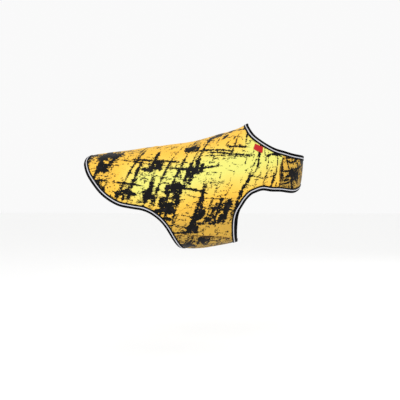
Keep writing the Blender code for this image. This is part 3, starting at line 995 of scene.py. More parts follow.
def span(tree: Tree, value: Socket, start: Pair, end: Pair, **settings: object) -> Socket:
    """A value carried from the range start to the range end."""
    limits = {"From Min": start[0], "From Max": start[1], "To Min": end[0], "To Max": end[1]}
    return add_node(tree, "ShaderNodeMapRange", {"Value": value}, limits, **settings).outputs[0]


def maths(tree: Tree, operation: str, one: Socket, two: Socket) -> Socket:
    """What an operation makes of two values."""
    return add_node(tree, "ShaderNodeMath", {0: one, 1: two}, operation=operation).outputs[0]


def blend(tree: Tree, factor: Socket, first: str, second: str) -> Socket:
    """Two hex colours, blended by a factor."""
    colours = {6: linear(first), 7: linear(second)}
    return add_node(tree, "ShaderNodeMix", {"Factor": factor}, colours, data_type="RGBA").outputs[2]


def new_material(name: str, constants: dict[str, float]
                 ) -> tuple[bpy.types.Material, Tree, bpy.types.Node]:
    """A new material, its tree and its shader, with the shader's constant values set.

    Args:
        name: Its name.
        constants: The shader's values by socket.

    Returns:
        The material, its tree and its shader.
    """
    made = bpy.data.materials.new(name)
    made.use_nodes = True
    shader = made.node_tree.nodes["Principled BSDF"]
    for socket, value in constants.items():
        shader.inputs[socket].default_value = value
    return made, made.node_tree, shader


class Slot(Enum):
    """The material slots of the cape's record."""

    CLOTH = "printed_cloth"
    TAPE = "binding_tape"
    STRIPE = "reflective_stripe"
    LOOP = "loop_tape"
    HOOK = "hook_tape"
    LABEL = "label"


@dataclass(frozen=True)
class Finish:
    """A plain finish: colour, gloss, sheen, and the size and depth of its surface's grain."""

    name: str
    colour: str
    second: str
    roughness: float
    grain_mm: float
    depth_mm: float
    sheen: float = 0.0
    specular: float = 0.5
    metallic: float = 0.0

    def make(self) -> bpy.types.Material:
        """The finish as a material: noise of the grain's size turns its colour and its normal.

        Returns:
            The material.
        """
        made, tree, shader = new_material(self.name, {
            "Roughness": self.roughness, "Metallic": self.metallic, "Sheen Weight": self.sheen,
            "Specular IOR Level": self.specular})
        place = add_node(tree, "ShaderNodeTexCoord").outputs["Object"]
        grain = noise(tree, place, 1000 / self.grain_mm, 2.0)
        bump = add_node(tree, "ShaderNodeBump", {"Height": grain},
                        {"Strength": 1.0, "Distance": self.depth_mm * MM})
        tree.links.new(blend(tree, grain, self.colour, self.second), shader.inputs["Base Color"])
        tree.links.new(bump.outputs[0], shader.inputs["Normal"])
        return made


@dataclass(frozen=True)
class Strokes:
    """Brush strokes on the flat cloth, one row each.

    Columns: middle along, middle round, heading in degrees, length, half width and bend; the rest is
    in mm. A spot is given the value outside where no stroke reaches it, and ripples are wave lengths.
    """

    rows: Array
    seed: int
    outside: float = -8.0
    ripples: tuple[float, float, float] = (2.3, 5.1, 1.3)

    def ink(self, flat: Array) -> Array:
        """How deep each spot lies inside a stroke, in mm, and below 0 outside them all.

        A stroke's depth is its half width, thinned towards both ends and made uneven by ripples
        along it, less the distance from its bent middle line. The spots are put in order along
        the body first, so that each stroke looks only at those that it can reach.

        Args:
            flat: Lengths along and round the cloth, in mm.

        Returns:
            The depth at each of them.
        """
        phases = np.random.default_rng(self.seed).uniform(0, 2 * math.pi, (len(self.rows), 3))
        order = flat[:, 0].argsort()
        spots = flat[order]
        depth = np.full(len(flat), self.outside)
        reaches = 0.6 * self.rows[:, 3] + self.rows[:, 4] + np.abs(self.rows[:, 5]) + 6
        starts = np.searchsorted(spots[:, 0], self.rows[:, 0] - reaches)
        ends = np.searchsorted(spots[:, 0], self.rows[:, 0] + reaches)
        for stroke, phase, start, end in zip(self.rows, phases, starts, ends):
            along, around, heading, long, half, bend = stroke
            turn = math.radians(heading)
            reach = spots[start:end] - (along, around)
            run = reach[:, 0] * math.cos(turn) + reach[:, 1] * math.sin(turn)
            share = run / (long / 2)
            across = reach[:, 1] * math.cos(turn) - reach[:, 0] * math.sin(turn) - bend * share ** 2
            ripple = sum(np.sin(run / wave + begin) for wave, begin in zip(self.ripples, phase))
            width = half * (0.85 + 0.15 * ripple) * (1 - np.abs(share) ** 5)
            inside = np.where(np.abs(share) < 1.3, width - np.abs(across), self.outside)
            depth[start:end] = np.maximum(depth[start:end], inside)
        answer = np.empty(len(flat))
        answer[order] = depth
        return answer


@dataclass(frozen=True)
class BrushPrint:
    """A generic distressed brush print: long steep strokes, level ones, blots and small ticks.

    Pitches are in mm and headings in degrees; each size is a range of lengths and one of half widths.
    """

    seed: int
    along: Pair
    around: Pair
    steep_pitch: float = 30.0
    level_pitch: float = 44.0
    blots: int = 34
    ticks: int = 1300
    steep: float = -62.0
    level: float = 14.0
    blot_reach: float = 0.72
    placed: tuple[Pair, ...] = ()
    steep_size: tuple[Pair, Pair] = ((60, 230), (1.8, 5.4))
    level_size: tuple[Pair, Pair] = ((50, 180), (1.4, 4.4))
    steep_tick: tuple[Pair, Pair] = ((4, 22), (0.8, 2.3))
    level_tick: tuple[Pair, Pair] = ((4, 24), (0.7, 1.7))

    def strokes(self) -> Strokes:
        """All the strokes: random ones in the given stretch of flat cloth, and the placed blots.

        Returns:
            The strokes.
        """
        draw = np.random.default_rng(self.seed)
        rows = [self.long_ones(draw, self.steep, self.steep_pitch, *self.steep_size),
                self.long_ones(draw, self.level, self.level_pitch, *self.level_size)]
        for _ in range(self.blots):
            share = self.blot_reach * draw.uniform()
            along = self.along[0] + share * (self.along[1] - self.along[0])
            rows.append(self.blot(draw, (along, draw.uniform(*self.around))))
        rows += [self.blot(draw, middle) for middle in self.placed]
        rows.append(self.small_ones(draw, self.ticks, self.steep, *self.steep_tick))
        rows.append(self.small_ones(draw, self.ticks, self.level, *self.level_tick))
        return Strokes(np.concatenate(rows), self.seed)

    def area(self) -> float:
        """The area of the stretch in mm squared."""
        return (self.along[1] - self.along[0]) * (self.around[1] - self.around[0])

    def small_ones(self, draw: np.random.Generator, count: int, heading: float, long: Pair,
                   half: Pair) -> Array:
        """Small strokes anywhere, all near one heading."""
        return np.stack([draw.uniform(*self.along, count), draw.uniform(*self.around, count),
                         draw.normal(heading, 7, count), draw.uniform(*long, count),
                         draw.uniform(*half, count), np.zeros(count)], -1)

    def long_ones(self, draw: np.random.Generator, heading: float, pitch: float, long: Pair,
                  half: Pair) -> Array:
        """Long strokes near one heading, whose number gives them about one pitch between lines.

        Args:
            draw: The random source.
            heading: In degrees.
            pitch: In mm.
            long: Range of lengths.
            half: Range of half widths.

        Returns:
            A row for each stroke.
        """
        count = max(int(self.area() / (pitch * (long[0] + long[1]) / 2)), 1)
        rows = self.small_ones(draw, count, heading, long, half)
        slots = (np.arange(count) + draw.uniform(0, 1, count)) / count
        rows[:, 0] = self.along[0] + (self.along[1] - self.along[0]) * draw.permutation(slots)
        rows[:, 2] = draw.normal(heading, 3.5, count)
        rows[:, 5] = draw.normal(0, 5, count)
        return rows

    def blot(self, draw: np.random.Generator, centre: Pair) -> Array:
        """A blot: fat short strokes of both headings heaped round one spot, with ticks about it.

        Args:
            draw: The random source.
            centre: The spot, along and round the cloth.

        Returns:
            A row for each stroke.
        """
        spread = draw.uniform(9, 24)
        fat, fine = 11, 34
        near = draw.normal(0, spread * 0.6, (fat, 2)) * (1.0, 0.7) + centre
        far = draw.normal(0, spread * 1.5, (fine, 2)) * (1.2, 0.9) + centre
        heading = np.where(draw.uniform(0, 1, fat + fine) < 0.55, self.steep, self.level)
        return np.stack([
            np.concatenate([near[:, 0], far[:, 0]]), np.concatenate([near[:, 1], far[:, 1]]),
            heading + draw.normal(0, 9, fat + fine),
            np.concatenate([draw.uniform(14, 36, fat), draw.uniform(4, 14, fine)]),
            np.concatenate([draw.uniform(2.8, 6.5, fat), draw.uniform(0.8, 2.4, fine)]),
            np.zeros(fat + fine)], -1)


@dataclass(frozen=True)
class PrintedSoftshell:
    """Polyester softshell, dyed golden and screen-printed black, with a painted highlight in pale yellow
    and a painted shade in deep gold.

    It gives the eye warm even colour over a fine knit, next to no gloss, and ink that lies a little
    glossier on it with ragged edges, dry streaks and drifts of specks. Waves are for each metre.
    """

    name: str = "printed_polyester_softshell"
    # Deep gold is a painted shade and pale yellow a painted highlight; golden is the cloth's own colour.
    deep: str = "#BA943F"
    golden: str = "#F6C147"
    lemon_highlight: str = "#E4E073"
    # The second ink is greyer: worn print, and a painted sheen on the ink.
    ink: str = "#060506"
    worn_and_sheen_ink: str = "#241E20"
    cloth_and_ink_gloss: Pair = (0.58, 0.5)
    middle_of_noise: Pair = (0.3, 0.7)
    rag_waves: float = 330.0
    rag_mm: Pair = (-1.7, 1.5)
    streak_waves: Pair = (90.0, 620.0)
    streak_turn: float = 64.0
    streak_mm: Pair = (-1.3, 0.9)
    ink_edge_mm: Pair = (-0.15, 0.35)
    speck_mm: float = 6.5
    speck_rarity: float = 4.0
    speck_edge: Pair = (-0.02, 0.02)
    speck_reach: Pair = (0.05, 0.30)
    drift_waves: float = 22.0
    drift: Pair = (0.42, 0.62)
    cloud_waves: float = 16.0
    cloud: float = 0.42
    # Patches of greyer ink, for worn print and a painted sheen.
    wear_and_sheen_waves: float = 60.0
    wear_and_sheen: Pair = (0.55, 0.8)
    knit_mm: float = 0.9
    knit_depth_mm: float = 0.1
    wave_unit: float = 3.1416

    def make(self) -> bpy.types.Material:
        """The material; attribute "ground" turns its colour from painted shade over golden to painted
        highlight, and "ink" is a depth in mm.

        Returns:
            The material.
        """
        made, tree, shader = new_material(self.name, {
            "Sheen Weight": 0.02, "Sheen Roughness": 0.5, "Specular IOR Level": 0.12})
        flat = add_node(tree, "ShaderNodeUVMap", uv_map="Cloth").outputs[0]
        ink = self.ink_amount(tree, flat)
        tree.links.new(self.colour(tree, flat, ink), shader.inputs["Base Color"])
        tree.links.new(span(tree, ink, (0.0, 1.0), self.cloth_and_ink_gloss), shader.inputs["Roughness"])
        tree.links.new(self.knit(tree, flat), shader.inputs["Normal"])
        return made

    def ink_amount(self, tree: Tree, flat: Socket) -> Socket:
        """0 on bare cloth and 1 on ink: ragged strokes, and specks in drifts.

        Args:
            tree: The material's nodes.
            flat: The cloth's lengths.

        Returns:
            The amount.
        """
        depth = add_node(tree, "ShaderNodeAttribute", attribute_name="ink").outputs["Fac"]
        ragged = noise(tree, flat, self.rag_waves, 3.0, 0.65)
        streak_place = add_node(tree, "ShaderNodeMapping", {"Vector": flat}, {
            "Rotation": (0.0, 0.0, math.radians(self.streak_turn)), "Scale": (*self.streak_waves, 1.0)})
        streaks = noise(tree, streak_place.outputs[0], 1.0, 2.0)
        rough = span(tree, ragged, self.middle_of_noise, self.rag_mm, clamp=False)
        dry = span(tree, streaks, self.middle_of_noise, self.streak_mm, clamp=False)
        total = maths(tree, "ADD", depth, maths(tree, "ADD", rough, dry))
        stroke = span(tree, total, self.ink_edge_mm, (0.0, 1.0), interpolation_type="SMOOTHSTEP")
        return maths(tree, "MAXIMUM", stroke, self.specks(tree, flat))

    def specks(self, tree: Tree, flat: Socket) -> Socket:
        """Small dots: one in each cell of a random pattern, of its own size, mostly too small to show.

        Args:
            tree: The material's nodes.
            flat: The cloth's lengths.

        Returns:
            1 in a dot and 0 elsewhere.
        """
        cell = add_node(tree, "ShaderNodeTexVoronoi", {"Vector": flat}, {"Scale": 1000 / self.speck_mm})
        own = add_node(tree, "ShaderNodeSeparateColor", {"Color": cell.outputs["Color"]}).outputs[0]
        power = {1: self.speck_rarity}
        size = add_node(tree, "ShaderNodeMath", {0: own}, power, operation="POWER").outputs[0]
        thick = span(tree, noise(tree, flat, self.drift_waves, 1.0), self.drift, self.speck_reach)
        inside = maths(tree, "SUBTRACT", maths(tree, "MULTIPLY", size, thick), cell.outputs["Distance"])
        return span(tree, inside, self.speck_edge, (0.0, 1.0), interpolation_type="SMOOTHSTEP")

    def colour(self, tree: Tree, flat: Socket, ink: Socket) -> Socket:
        """Cloth from a deep gold painted shade over golden to a pale yellow painted highlight, unevenly
        dyed, under nearly black ink that turns greyer in patches of worn print and painted sheen.

        Args:
            tree: The material's nodes.
            flat: The cloth's lengths.
            ink: The amount of ink.

        Returns:
            The colour.
        """
        ground = add_node(tree, "ShaderNodeAttribute", attribute_name="ground").outputs["Fac"]
        clouds = noise(tree, flat, self.cloud_waves, 3.0)
        tone = maths(tree, "ADD", ground, span(tree, clouds, (0.0, 1.0), (-self.cloud, self.cloud)))
        ramp = add_node(tree, "ShaderNodeValToRGB", {"Fac": span(tree, tone, (-1.0, 1.0), (0.0, 1.0))})
        # Deep gold at one end is painted shade, pale yellow at the other a painted highlight.
        ramp.color_ramp.elements[0].color = linear(self.deep)
        ramp.color_ramp.elements[1].color = linear(self.lemon_highlight)
        ramp.color_ramp.elements.new(0.5).color = linear(self.golden)
        # Greyer ink in patches: worn print and a painted sheen.
        fade = span(tree, noise(tree, flat, self.wear_and_sheen_waves, 2.0), self.wear_and_sheen, (0.0, 1.0))
        black = blend(tree, fade, self.ink, self.worn_and_sheen_ink)
        links = {"Factor": ink, 6: ramp.outputs[0], 7: black}
        return add_node(tree, "ShaderNodeMix", links, data_type="RGBA").outputs[2]

    def knit(self, tree: Tree, flat: Socket) -> Socket:
        """The normal of a fine even knit, drawn at 0.9 mm because a finer one can't show.

        Args:
            tree: The material's nodes.
            flat: The cloth's lengths.

        Returns:
            The normal.
        """
        values = {"Scale": 1000 / self.knit_mm / self.wave_unit, "Distortion": 0.6}
        rows, lines = [add_node(tree, "ShaderNodeTexWave", {"Vector": flat}, values, bands_direction=way)
                       for way in ("X", "Y")]
        height = maths(tree, "MULTIPLY", rows.outputs["Fac"], lines.outputs["Fac"])
        depth = {"Strength": 0.5, "Distance": self.knit_depth_mm * MM}
        return add_node(tree, "ShaderNodeBump", {"Height": height}, depth).outputs[0]


# Charcoal and woolly: it swallows light, with a pale bloom at grazing angles.
SOFTSHELL_BACK = Finish("softshell_fleece_back", "#2B2B2E", "#3A3A3E", 0.95, 1.2, 0.25, sheen=0.4,
                        specular=0.2)
# Deep black and nearly matt, so that every edge reads as one dark line.
BINDING = Finish("woven_polyester_binding", "#040405", "#0A0A0C", 0.8, 0.7, 0.06, specular=0.06)
# Pale grey with the soft gleam of beads, brighter than all that lies beside it.
SILVER = Finish("glass_bead_reflective_tape", "#BDBDC4", "#D2D2D8", 0.4, 0.35, 0.02, specular=0.4,
                metallic=0.25)
# Black and fuzzy, with a faint bloom of loops.
LOOP_PILE = Finish("nylon_loop_pile", "#0E0E10", "#232326", 0.95, 0.8, 0.5, sheen=0.5, specular=0.2)
# Black and harder, with small glints.
HOOK_FIELD = Finish("nylon_hook_field", "#101012", "#1C1C1F", 0.5, 1.2, 0.4, specular=0.4)
# Clear deep red with a slight silky gloss.
RED_SATIN = Finish("woven_satin_label", "#A60D12", "#C2191E", 0.5, 0.5, 0.04, sheen=0.03,
                   specular=0.25)
# A darker red, a painted shade so that the stitches read as dimples in the satin.
RED_THREAD = Finish("red_polyester_thread", "#7E0B0A", "#930F0D", 0.5, 0.25, 0.03, specular=0.5)
# Soft dark glints that part the stitches from the matt tape.
BLACK_THREAD = Finish("black_polyester_thread", "#1A1A1D", "#2A2A2E", 0.5, 0.25, 0.03, specular=0.5)
# Warm gold near the cloth's own, so that seams read as fine beaded lines.
GOLD_THREAD = Finish("gold_polyester_thread", "#D9962A", "#EDB040", 0.5, 0.25, 0.03, specular=0.5)
# Matt white that takes a soft shade and no gloss.
PAPER = Finish("white_paper_floor", "#FBFBFA", "#FCFCFC", 0.95, 40.0, 0.0, specular=0.1)


@dataclass
class Piece:
    """One finished piece: its mesh, its materials, the solid that it stands for and its slot."""

    name: str
    skin: Skin
    inks: Sequence[bpy.types.Material]
    slot: Slot
    node: str | None = None

    def add(self) -> Object:
        """Makes the object, lets it ride on the cape and hides the solid that it stands for.

        Returns:
            The object.
        """
        made = self.skin.made(self.name, self.inks)
        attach(made, "root")
        if self.node is not None:
            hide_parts(self.node)
        LOG.info("%s: %d faces", self.name, len(made.data.polygons))
        return made


@dataclass
class Cloth:
    """The five cloth pieces: body panel, chest straps and belly bands."""

    pattern: Pattern
    seam_dip: float = 0.9
    seam_reach: float = 1.7
    seam_pucker: float = 0.22
    seam_wave: float = 7.5
    seam_fade: float = 7.0
    tape_pucker: float = 0.45
    tape_wave: float = 15.0
    tape_rise: float = 5.0
    tape_fade: float = 16.0
    bare_from: float = 0.4
    # The strength of the painted highlight in pale yellow, and a painted shade in deep gold low on the
    # body, from low_from over low_fade.
    lemon_highlight: float = 1.25
    golden: float = 0.15
    low_from: float = 190.0
    low_fade: float = 90.0
    painted_shade_low: float = 0.55
    # Painted shade on the belly bands and, deeper, on the chest straps.
    band_painted_shade: float = -0.35
    strap_painted_shade: float = -1.0
    body_print: BrushPrint = BrushPrint(
        seed=41, along=(-360.0, 210.0), around=(-330.0, 330.0),
        placed=((-258.0, 78.0), (-212.0, 150.0), (-235.0, 30.0), (-45.0, 262.0), (22.0, 262.0),
                (-250.0, -95.0), (-30.0, -262.0), (-278.0, 122.0), (-262.0, -30.0)))
    strap_print: BrushPrint = BrushPrint(
        seed=7, along=(-30.0, 330.0), around=(120.0, 380.0), steep_pitch=20.0, level_pitch=36.0,
        blots=17, ticks=650, steep=-74.0, blot_reach=1.0)
    band_print: BrushPrint = BrushPrint(
        seed=19, along=(-140.0, 120.0), around=(180.0, 420.0), steep_pitch=60.0, level_pitch=17.0,
        blots=14, ticks=700, level=12.0, blot_reach=1.0)
    seams: Lines = field(init=False)
    edges: Lines = field(init=False)

    def __post_init__(self) -> None:
        """Finds the seams and the bound edges, along which the cloth puckers."""
        pattern = self.pattern
        half = [inside[0] for _, _, inside in pattern.bands().values()]
        self.seams = Lines(half + [mirrored(curve) for curve in half])
        edges = (pattern.hem[0], pattern.neck[0], pattern.leg[0], mirrored(pattern.leg[0]))
        self.edges = Lines([edge[::2] for edge in edges])

    def relief(self, places: Array) -> Array:
        """Height of the face: it dips into the seams, and ripples beside them and the tapes.

        Args:
            places: Stations and angles.

        Returns:
            The height at each place in mm.
        """
        far, run = self.seams.near(places)
        dip = self.seam_dip * np.exp(-(far / self.seam_reach) ** 2)
        beside_seam = self.seam_pucker * uneven(run, self.seam_wave, 3)
        beside_seam = beside_seam * np.exp(-(far / self.seam_fade) ** 2)
        edge, edge_run = self.edges.near(places)
        inside = edge - TAPE_OUTSIDE
        rise, fade = eased(inside / self.tape_rise), np.exp(-(inside / self.tape_fade) ** 2)
        beside_tape = self.tape_pucker * uneven(edge_run, self.tape_wave, 5) * rise * fade
        return CLOTH - dip + np.where(inside < self.bare_from, 0.0, beside_seam + beside_tape)

    def ground(self, flat: Array, shift: float) -> Array:
        """The colour from -1, a deep gold painted shade, over golden to 1, a pale yellow painted
        highlight: a bell across each highlight zone, and painted shade low on the body.

        Args:
            flat: Lengths along and round the cloth in mm.
            shift: What is added everywhere.

        Returns:
            The dye at each spot.
        """
        along, around = flat[:, 0], np.abs(flat[:, 1])
        zones = [np.exp(-((around - middle) / width) ** 2) * eased((along - start) / fade)
                 for middle, width, start, fade in LEMON_HIGHLIGHT_ZONES]
        # Painted shade: deeper gold towards the belly.
        low = eased((around - self.low_from) / self.low_fade)
        return self.lemon_highlight * np.maximum(*zones) - self.golden - self.painted_shade_low * low + shift

    def piece(self, name: str, grids: Sequence[Array], inks: Sequence[bpy.types.Material],
              pattern: BrushPrint, shift: float) -> tuple[Object, float]:
        """One cloth piece with its print.

        Args:
            name: The node that it stands for.
            grids: Its places.
            inks: Materials of the face and of the back.
            pattern: Its print.
            shift: How far its colour lies from the body's: a painted shade towards deep gold on the
                bands and straps.

        Returns:
            The object, and the area of its cloth in square metres.
        """
        skin = closed_sheet(grids, 0.0, self.relief)
        half = len(skin.places) // 2
        flat = CLOTH_MAP.at(skin.places[:half])
        side = flat if pattern is self.body_print else flat * [1, np.sign(flat[:, 1].mean())]
        values = {"ink": pattern.strokes().ink(side), "ground": self.ground(flat, shift)}
        skin.values = {key: np.tile(value, 2) for key, value in values.items()}
        outside = crossed(skin.points, skin.faces[:skin.inner_from])
        area = float(np.linalg.norm(outside, axis=1).sum() / 2)
        return Piece(f"cloth_{name}", skin, inks, Slot.CLOTH, name).add(), area

    def build(self) -> dict[str, tuple[Object, float]]:
        """Makes the five pieces.

        Returns:
            Each node's object and the area of its cloth.
        """
        inks = [PrintedSoftshell().make(), SOFTSHELL_BACK.make()]
        made = {"body_panel": self.piece("body_panel", self.pattern.body(), inks, self.body_print, 0.0)}
        # The bands and straps darken towards deep gold, a painted shade.
        looks = {"belly": (self.band_print, self.band_painted_shade), "chest": (self.strap_print, self.strap_painted_shade)}
        for name, (pattern, shift) in looks.items():
            grids = self.pattern.band_cloth(*self.pattern.bands()[name])
            for side in Side:
                turned = [grid * [1, side.value] for grid in grids]
                node = f"{CLOTH_OF[name]}_{side.name.lower()}"
                own = replace(pattern, seed=pattern.seed + side.value)
                made[node] = self.piece(node, turned, inks, own, shift)
        return made


@dataclass
class Bindings:
    """Folded binding tapes with their reflective stripes and their stitching."""

    pattern: Pattern
    bulge: float = 0.28
    ripple: float = 0.14
    ripple_wave: float = 11.0
    fold_step: int = 20
    edge_roll: float = 0.25
    outer_rows: tuple[float, ...] = (TAPE_EDGE, 11.8, 10.8, 9.6, 7.5, 5.5, 3.8)
    inner_rows: tuple[float, ...] = (5.0, 8.0, 10.8, TAPE_INSIDE)
    stripe_rows: tuple[float, ...] = (
        STRIPE_FROM, STRIPE_FROM + 0.25, 6.9, 7.7, STRIPE_TO - 0.25, STRIPE_TO)
    stripe_rise: tuple[float, ...] = (0.06, 0.42, 0.46, 0.46, 0.42, 0.06)
    stripe_sink: float = 0.1
    stitch_from: float = 10.8
    stitch_rise: float = 0.05
    stitch: Stitch = Stitch(pitch=3.4, long=2.5, thick=0.55)

    def strips(self) -> dict[str, Array]:
        """Each tape's node and its bound edge.

        Returns:
            Each strip by its node.
        """
        pattern = self.pattern
        strips = {"neck_binding": pattern.neck, "hem_binding": pattern.hem,
                  "leg_binding_right": pattern.leg, "leg_binding_left": mirrored(pattern.leg)}
        for name, (_, _, inside) in pattern.bands().items():
            for side in Side:
                end = pattern.end_strip(inside) * [1, side.value]
                strips[f"{name}_end_binding_{side.name.lower()}"] = end
        return strips

    def swell(self, strip: Array, far: float) -> Array:
        """How far the tape's face stands above its flat height: a soft crown, with ripples along it."""
        crown = math.sin(math.pi * min(max(far / self.stitch_from, 0.0), 1.0))
        return crown * (self.bulge + self.ripple * uneven(lengths(strip[0]), self.ripple_wave, 9))

    def tape(self, strip: Array) -> Skin:
        """One tape: a flat outer leg, a half-round fold and a flat inner leg, 0.8 mm thick.

        Args:
            strip: The bound edge.

        Returns:
            The tape.
        """
        height, radius_out = CLOTH / 2, CLOTH / 2 + GAP + TAPE
        turns = [math.radians(turn) for turn in range(90, 271, self.fold_step)]

        def rows(radius: float, tip: float) -> list[tuple[float, float, bool]]:
            """Distance from the edge, height, and whether the row is on the outer leg."""
            outer = [(far, height + radius - (tip if far == TAPE_EDGE else 0), True)
                     for far in self.outer_rows]
            bend = [(radius_out + radius * math.cos(turn), height + radius * math.sin(turn), False)
                    for turn in turns]
            inner = [(far, height - radius + (tip if far == TAPE_INSIDE else 0), False)
                     for far in self.inner_rows]
            return outer + bend + inner

        skins = []
        for radius, tip in ((radius_out, self.edge_roll), (radius_out - TAPE, 0.0)):
            skins.append(np.stack([
                SURFACE.raised(at(strip, far), high + (self.swell(strip, far) if crowned else 0.0))
                for far, high, crowned in rows(radius, tip)]))
        places = np.stack([at(strip, far) for far, _, _ in rows(radius_out, 0.0)])
        return ribbon(skins[0], skins[1], places)

    def stripe(self, strip: Array) -> Skin:
        """One stripe: a thin tape with soft edges, laid on the crowned face of its binding.

        Args:
            strip: The bound edge.

        Returns:
            The stripe.
        """
        strip = shortened(strip, 1.0, 1.0)
        face = CLOTH + GAP + TAPE
        places = np.stack([at(strip, far) for far in self.stripe_rows])
        outer = [SURFACE.raised(at(strip, far), face + self.swell(strip, far) + rise)
                 for far, rise in zip(self.stripe_rows, self.stripe_rise)]
        inner = [SURFACE.raised(at(strip, far), face + self.swell(strip, far) - self.stripe_sink)
                 for far in self.stripe_rows]
        return ribbon(np.stack(outer), np.stack(inner), places)

    def stitches(self, strip: Array) -> Skin:
        """The row of stitches that holds a tape, seen on its outer and on its inner leg."""
        curve = at(strip, self.stitch_from)
        heights = (CLOTH + GAP + TAPE + self.stitch_rise, -GAP - TAPE - self.stitch_rise)
        return together([self.stitch.row(curve, height) for height in heights])

    def build(self) -> dict[str, list[Object]]:
        """Makes the tapes, stripes and stitches.

        Returns:
            For each tape's node, the pieces that go with it.
        """
        tape, silver, thread = BINDING.make(), SILVER.make(), BLACK_THREAD.make()
        made = {}
        for node, strip in self.strips().items():
            piece = Piece(f"tape_{node}", self.tape(strip), [tape], Slot.TAPE, node).add()
            sewn = Piece(f"stitches_{node}", self.stitches(strip), [thread], Slot.TAPE).add()
            made[node] = [piece, sewn]
        lap = FINE * LEG_COUNTS[0]
        pattern = self.pattern
        stripes = {"neck_stripe": pattern.neck[:, :-lap], "hem_stripe": pattern.hem[:, :-lap],
                   "leg_stripe_right": pattern.leg,
                   "leg_stripe_left": mirrored(pattern.leg)[:, lap:-lap]}
        for node, strip in stripes.items():
            piece = Piece(f"silver_{node}", self.stripe(strip), [silver], Slot.STRIPE, node).add()
            made[node.replace("stripe", "binding")].append(piece)
        return made


@dataclass
class Seams:
    """Two rows of golden top-stitching beside each of the four seams."""

    pattern: Pattern
    beside: float = 2.6
    sink: float = 0.02
    stitch: Stitch = Stitch(pitch=3.2, long=2.3, thick=0.5)

    def build(self) -> dict[str, Object]:
        """Makes the rows, one piece for each seam and side of it.

        Returns:
            For each cloth node, its row of stitches.
        """
        gold = GOLD_THREAD.make()
        made = {}
        for name, (_, _, inside) in self.pattern.bands().items():
            curves = [moved_round(inside[0], shift) for shift in (-self.beside, self.beside)]
            for side in Side:
                rows = [self.stitch.row(curve * [1, side.value], CLOTH - self.sink) for curve in curves]
                low = side.name.lower()
                piece = Piece(f"stitches_{name}_seam_{low}", together(rows), [gold], Slot.CLOTH)
                made[f"{CLOTH_OF[name]}_{low}"] = piece.add()
        return made


@dataclass
class Fastenings:
    """Hook and loop pads inside the laps."""

    pattern: Pattern

    def build(self) -> dict[str, Object]:
        """Makes the loop pads on the left pieces and the hook pads under the right ones.

        Returns:
            Each pad by its node.
        """
        loop, hook = LOOP_PILE.make(), HOOK_FIELD.make()
        made = {}
        for name, (_, _, inside) in self.pattern.bands().items():
            grid, face = self.pattern.pad(inside), CLOTH + GAP
            pads = (("loop", mirrored(grid), face, face + LOOP_PAD, loop, Slot.LOOP),
                    ("hook", grid, -GAP - HOOK_PAD, -GAP, hook, Slot.HOOK))
            for kind, places, low, high, ink, slot in pads:
                node = f"{name}_{kind}_pad"
                skin = closed_sheet([places], low, lambda spots, high=high: np.full(len(spots), high))
                made[node] = Piece(f"tape_{node}", skin, [ink], slot, node).add()
        return made


@dataclass
class Label:
    """A small bare woven label with rounded corners, sewn along its two ends."""

    corner: float = 1.3
    crown: float = 0.22
    edge_roll: float = 0.25
    roll_share: float = 0.12
    crown_share: float = 0.5
    lift: float = 0.05
    steps: tuple[int, int] = (41, 25)
    stitch: Stitch = Stitch(pitch=2.0, long=1.4, thick=0.4)
    stitch_inset: float = 1.2
    stitch_end: float = 0.8

    def on_cloth(self, along_mm: Array, across_mm: Array) -> Array:
        """Places of points given in mm from the label's middle, along and across it.

        Args:
            along_mm: How far along it.
            across_mm: How far across it.

        Returns:
            The places.
        """
        centre = np.array(LABEL_PLACE, float)
        along, around, _ = SURFACE.slopes(centre)
        turn = math.radians(LABEL_TURN)
        round_mm = along_mm * math.cos(turn) - across_mm * math.sin(turn)
        body_mm = along_mm * math.sin(turn) + across_mm * math.cos(turn)
        return np.stack([centre[0] + body_mm / np.linalg.norm(along),
                         centre[1] + round_mm / np.linalg.norm(around)], -1)

    def skin(self) -> Skin:
        """An oblong grid whose corners are drawn onto quarter circles, crowned in its middle.

        Returns:
            The label.
        """
        long, high = np.meshgrid(*[np.linspace(-1, 1, count) for count in self.steps], indexing="ij")
        half = np.array([LABEL_LONG / 2, LABEL_HIGH / 2])
        spot = np.stack([long, high], -1) * half
        over = np.maximum(np.abs(spot) - (half - self.corner), 0.0)
        size = np.linalg.norm(over, axis=-1, keepdims=True)
        reach = over.max(-1, keepdims=True)
        pulled = np.where(size > 0, over * reach / np.maximum(size, 1e-9), 0.0)
        spot = np.sign(spot) * (np.abs(spot) - over + pulled)
        places = self.on_cloth(spot[..., 0], spot[..., 1]).reshape(-1, 2)
        number = np.arange(len(places)).reshape(self.steps)
        edge_far = (1 - np.maximum(np.abs(long), np.abs(high))).ravel()
        top = (CLOTH + GAP + LABEL - self.edge_roll * (1 - eased(edge_far / self.roll_share))
               + self.crown * eased(edge_far / self.crown_share))
        inner = SURFACE.raised(places, CLOTH + self.lift)
        return closed(places, cells(number), SURFACE.raised(places, top), inner)

    def build(self) -> list[Object]:
        """Makes the label and the short rows of stitches at its two ends.

        Returns:
            The label and its stitches.
        """
        red = RED_SATIN.make()
        label = Piece("woven_neck_label", self.skin(), [red], Slot.LABEL, "neck_label").add()
        reach, far = LABEL_HIGH / 2 - self.stitch_end, LABEL_LONG / 2 - self.stitch_inset
        across = np.linspace(-reach, reach, 30)
        rows = [self.stitch.row(self.on_cloth(np.full(len(across), end), across), CLOTH + GAP + LABEL)
                for end in (-far, far)]
        sewn = Piece("stitches_neck_label", together(rows), [RED_THREAD.make()], Slot.LABEL).add()
        return [label, sewn]


# The lamps: name, place in metres, size in metres, power in watts.
LIGHTS = (("key", (-0.5, -2.2, 1.3), 1.6, 20.0), ("rim", (1.4, 1.8, 1.2), 1.6, 10.0))


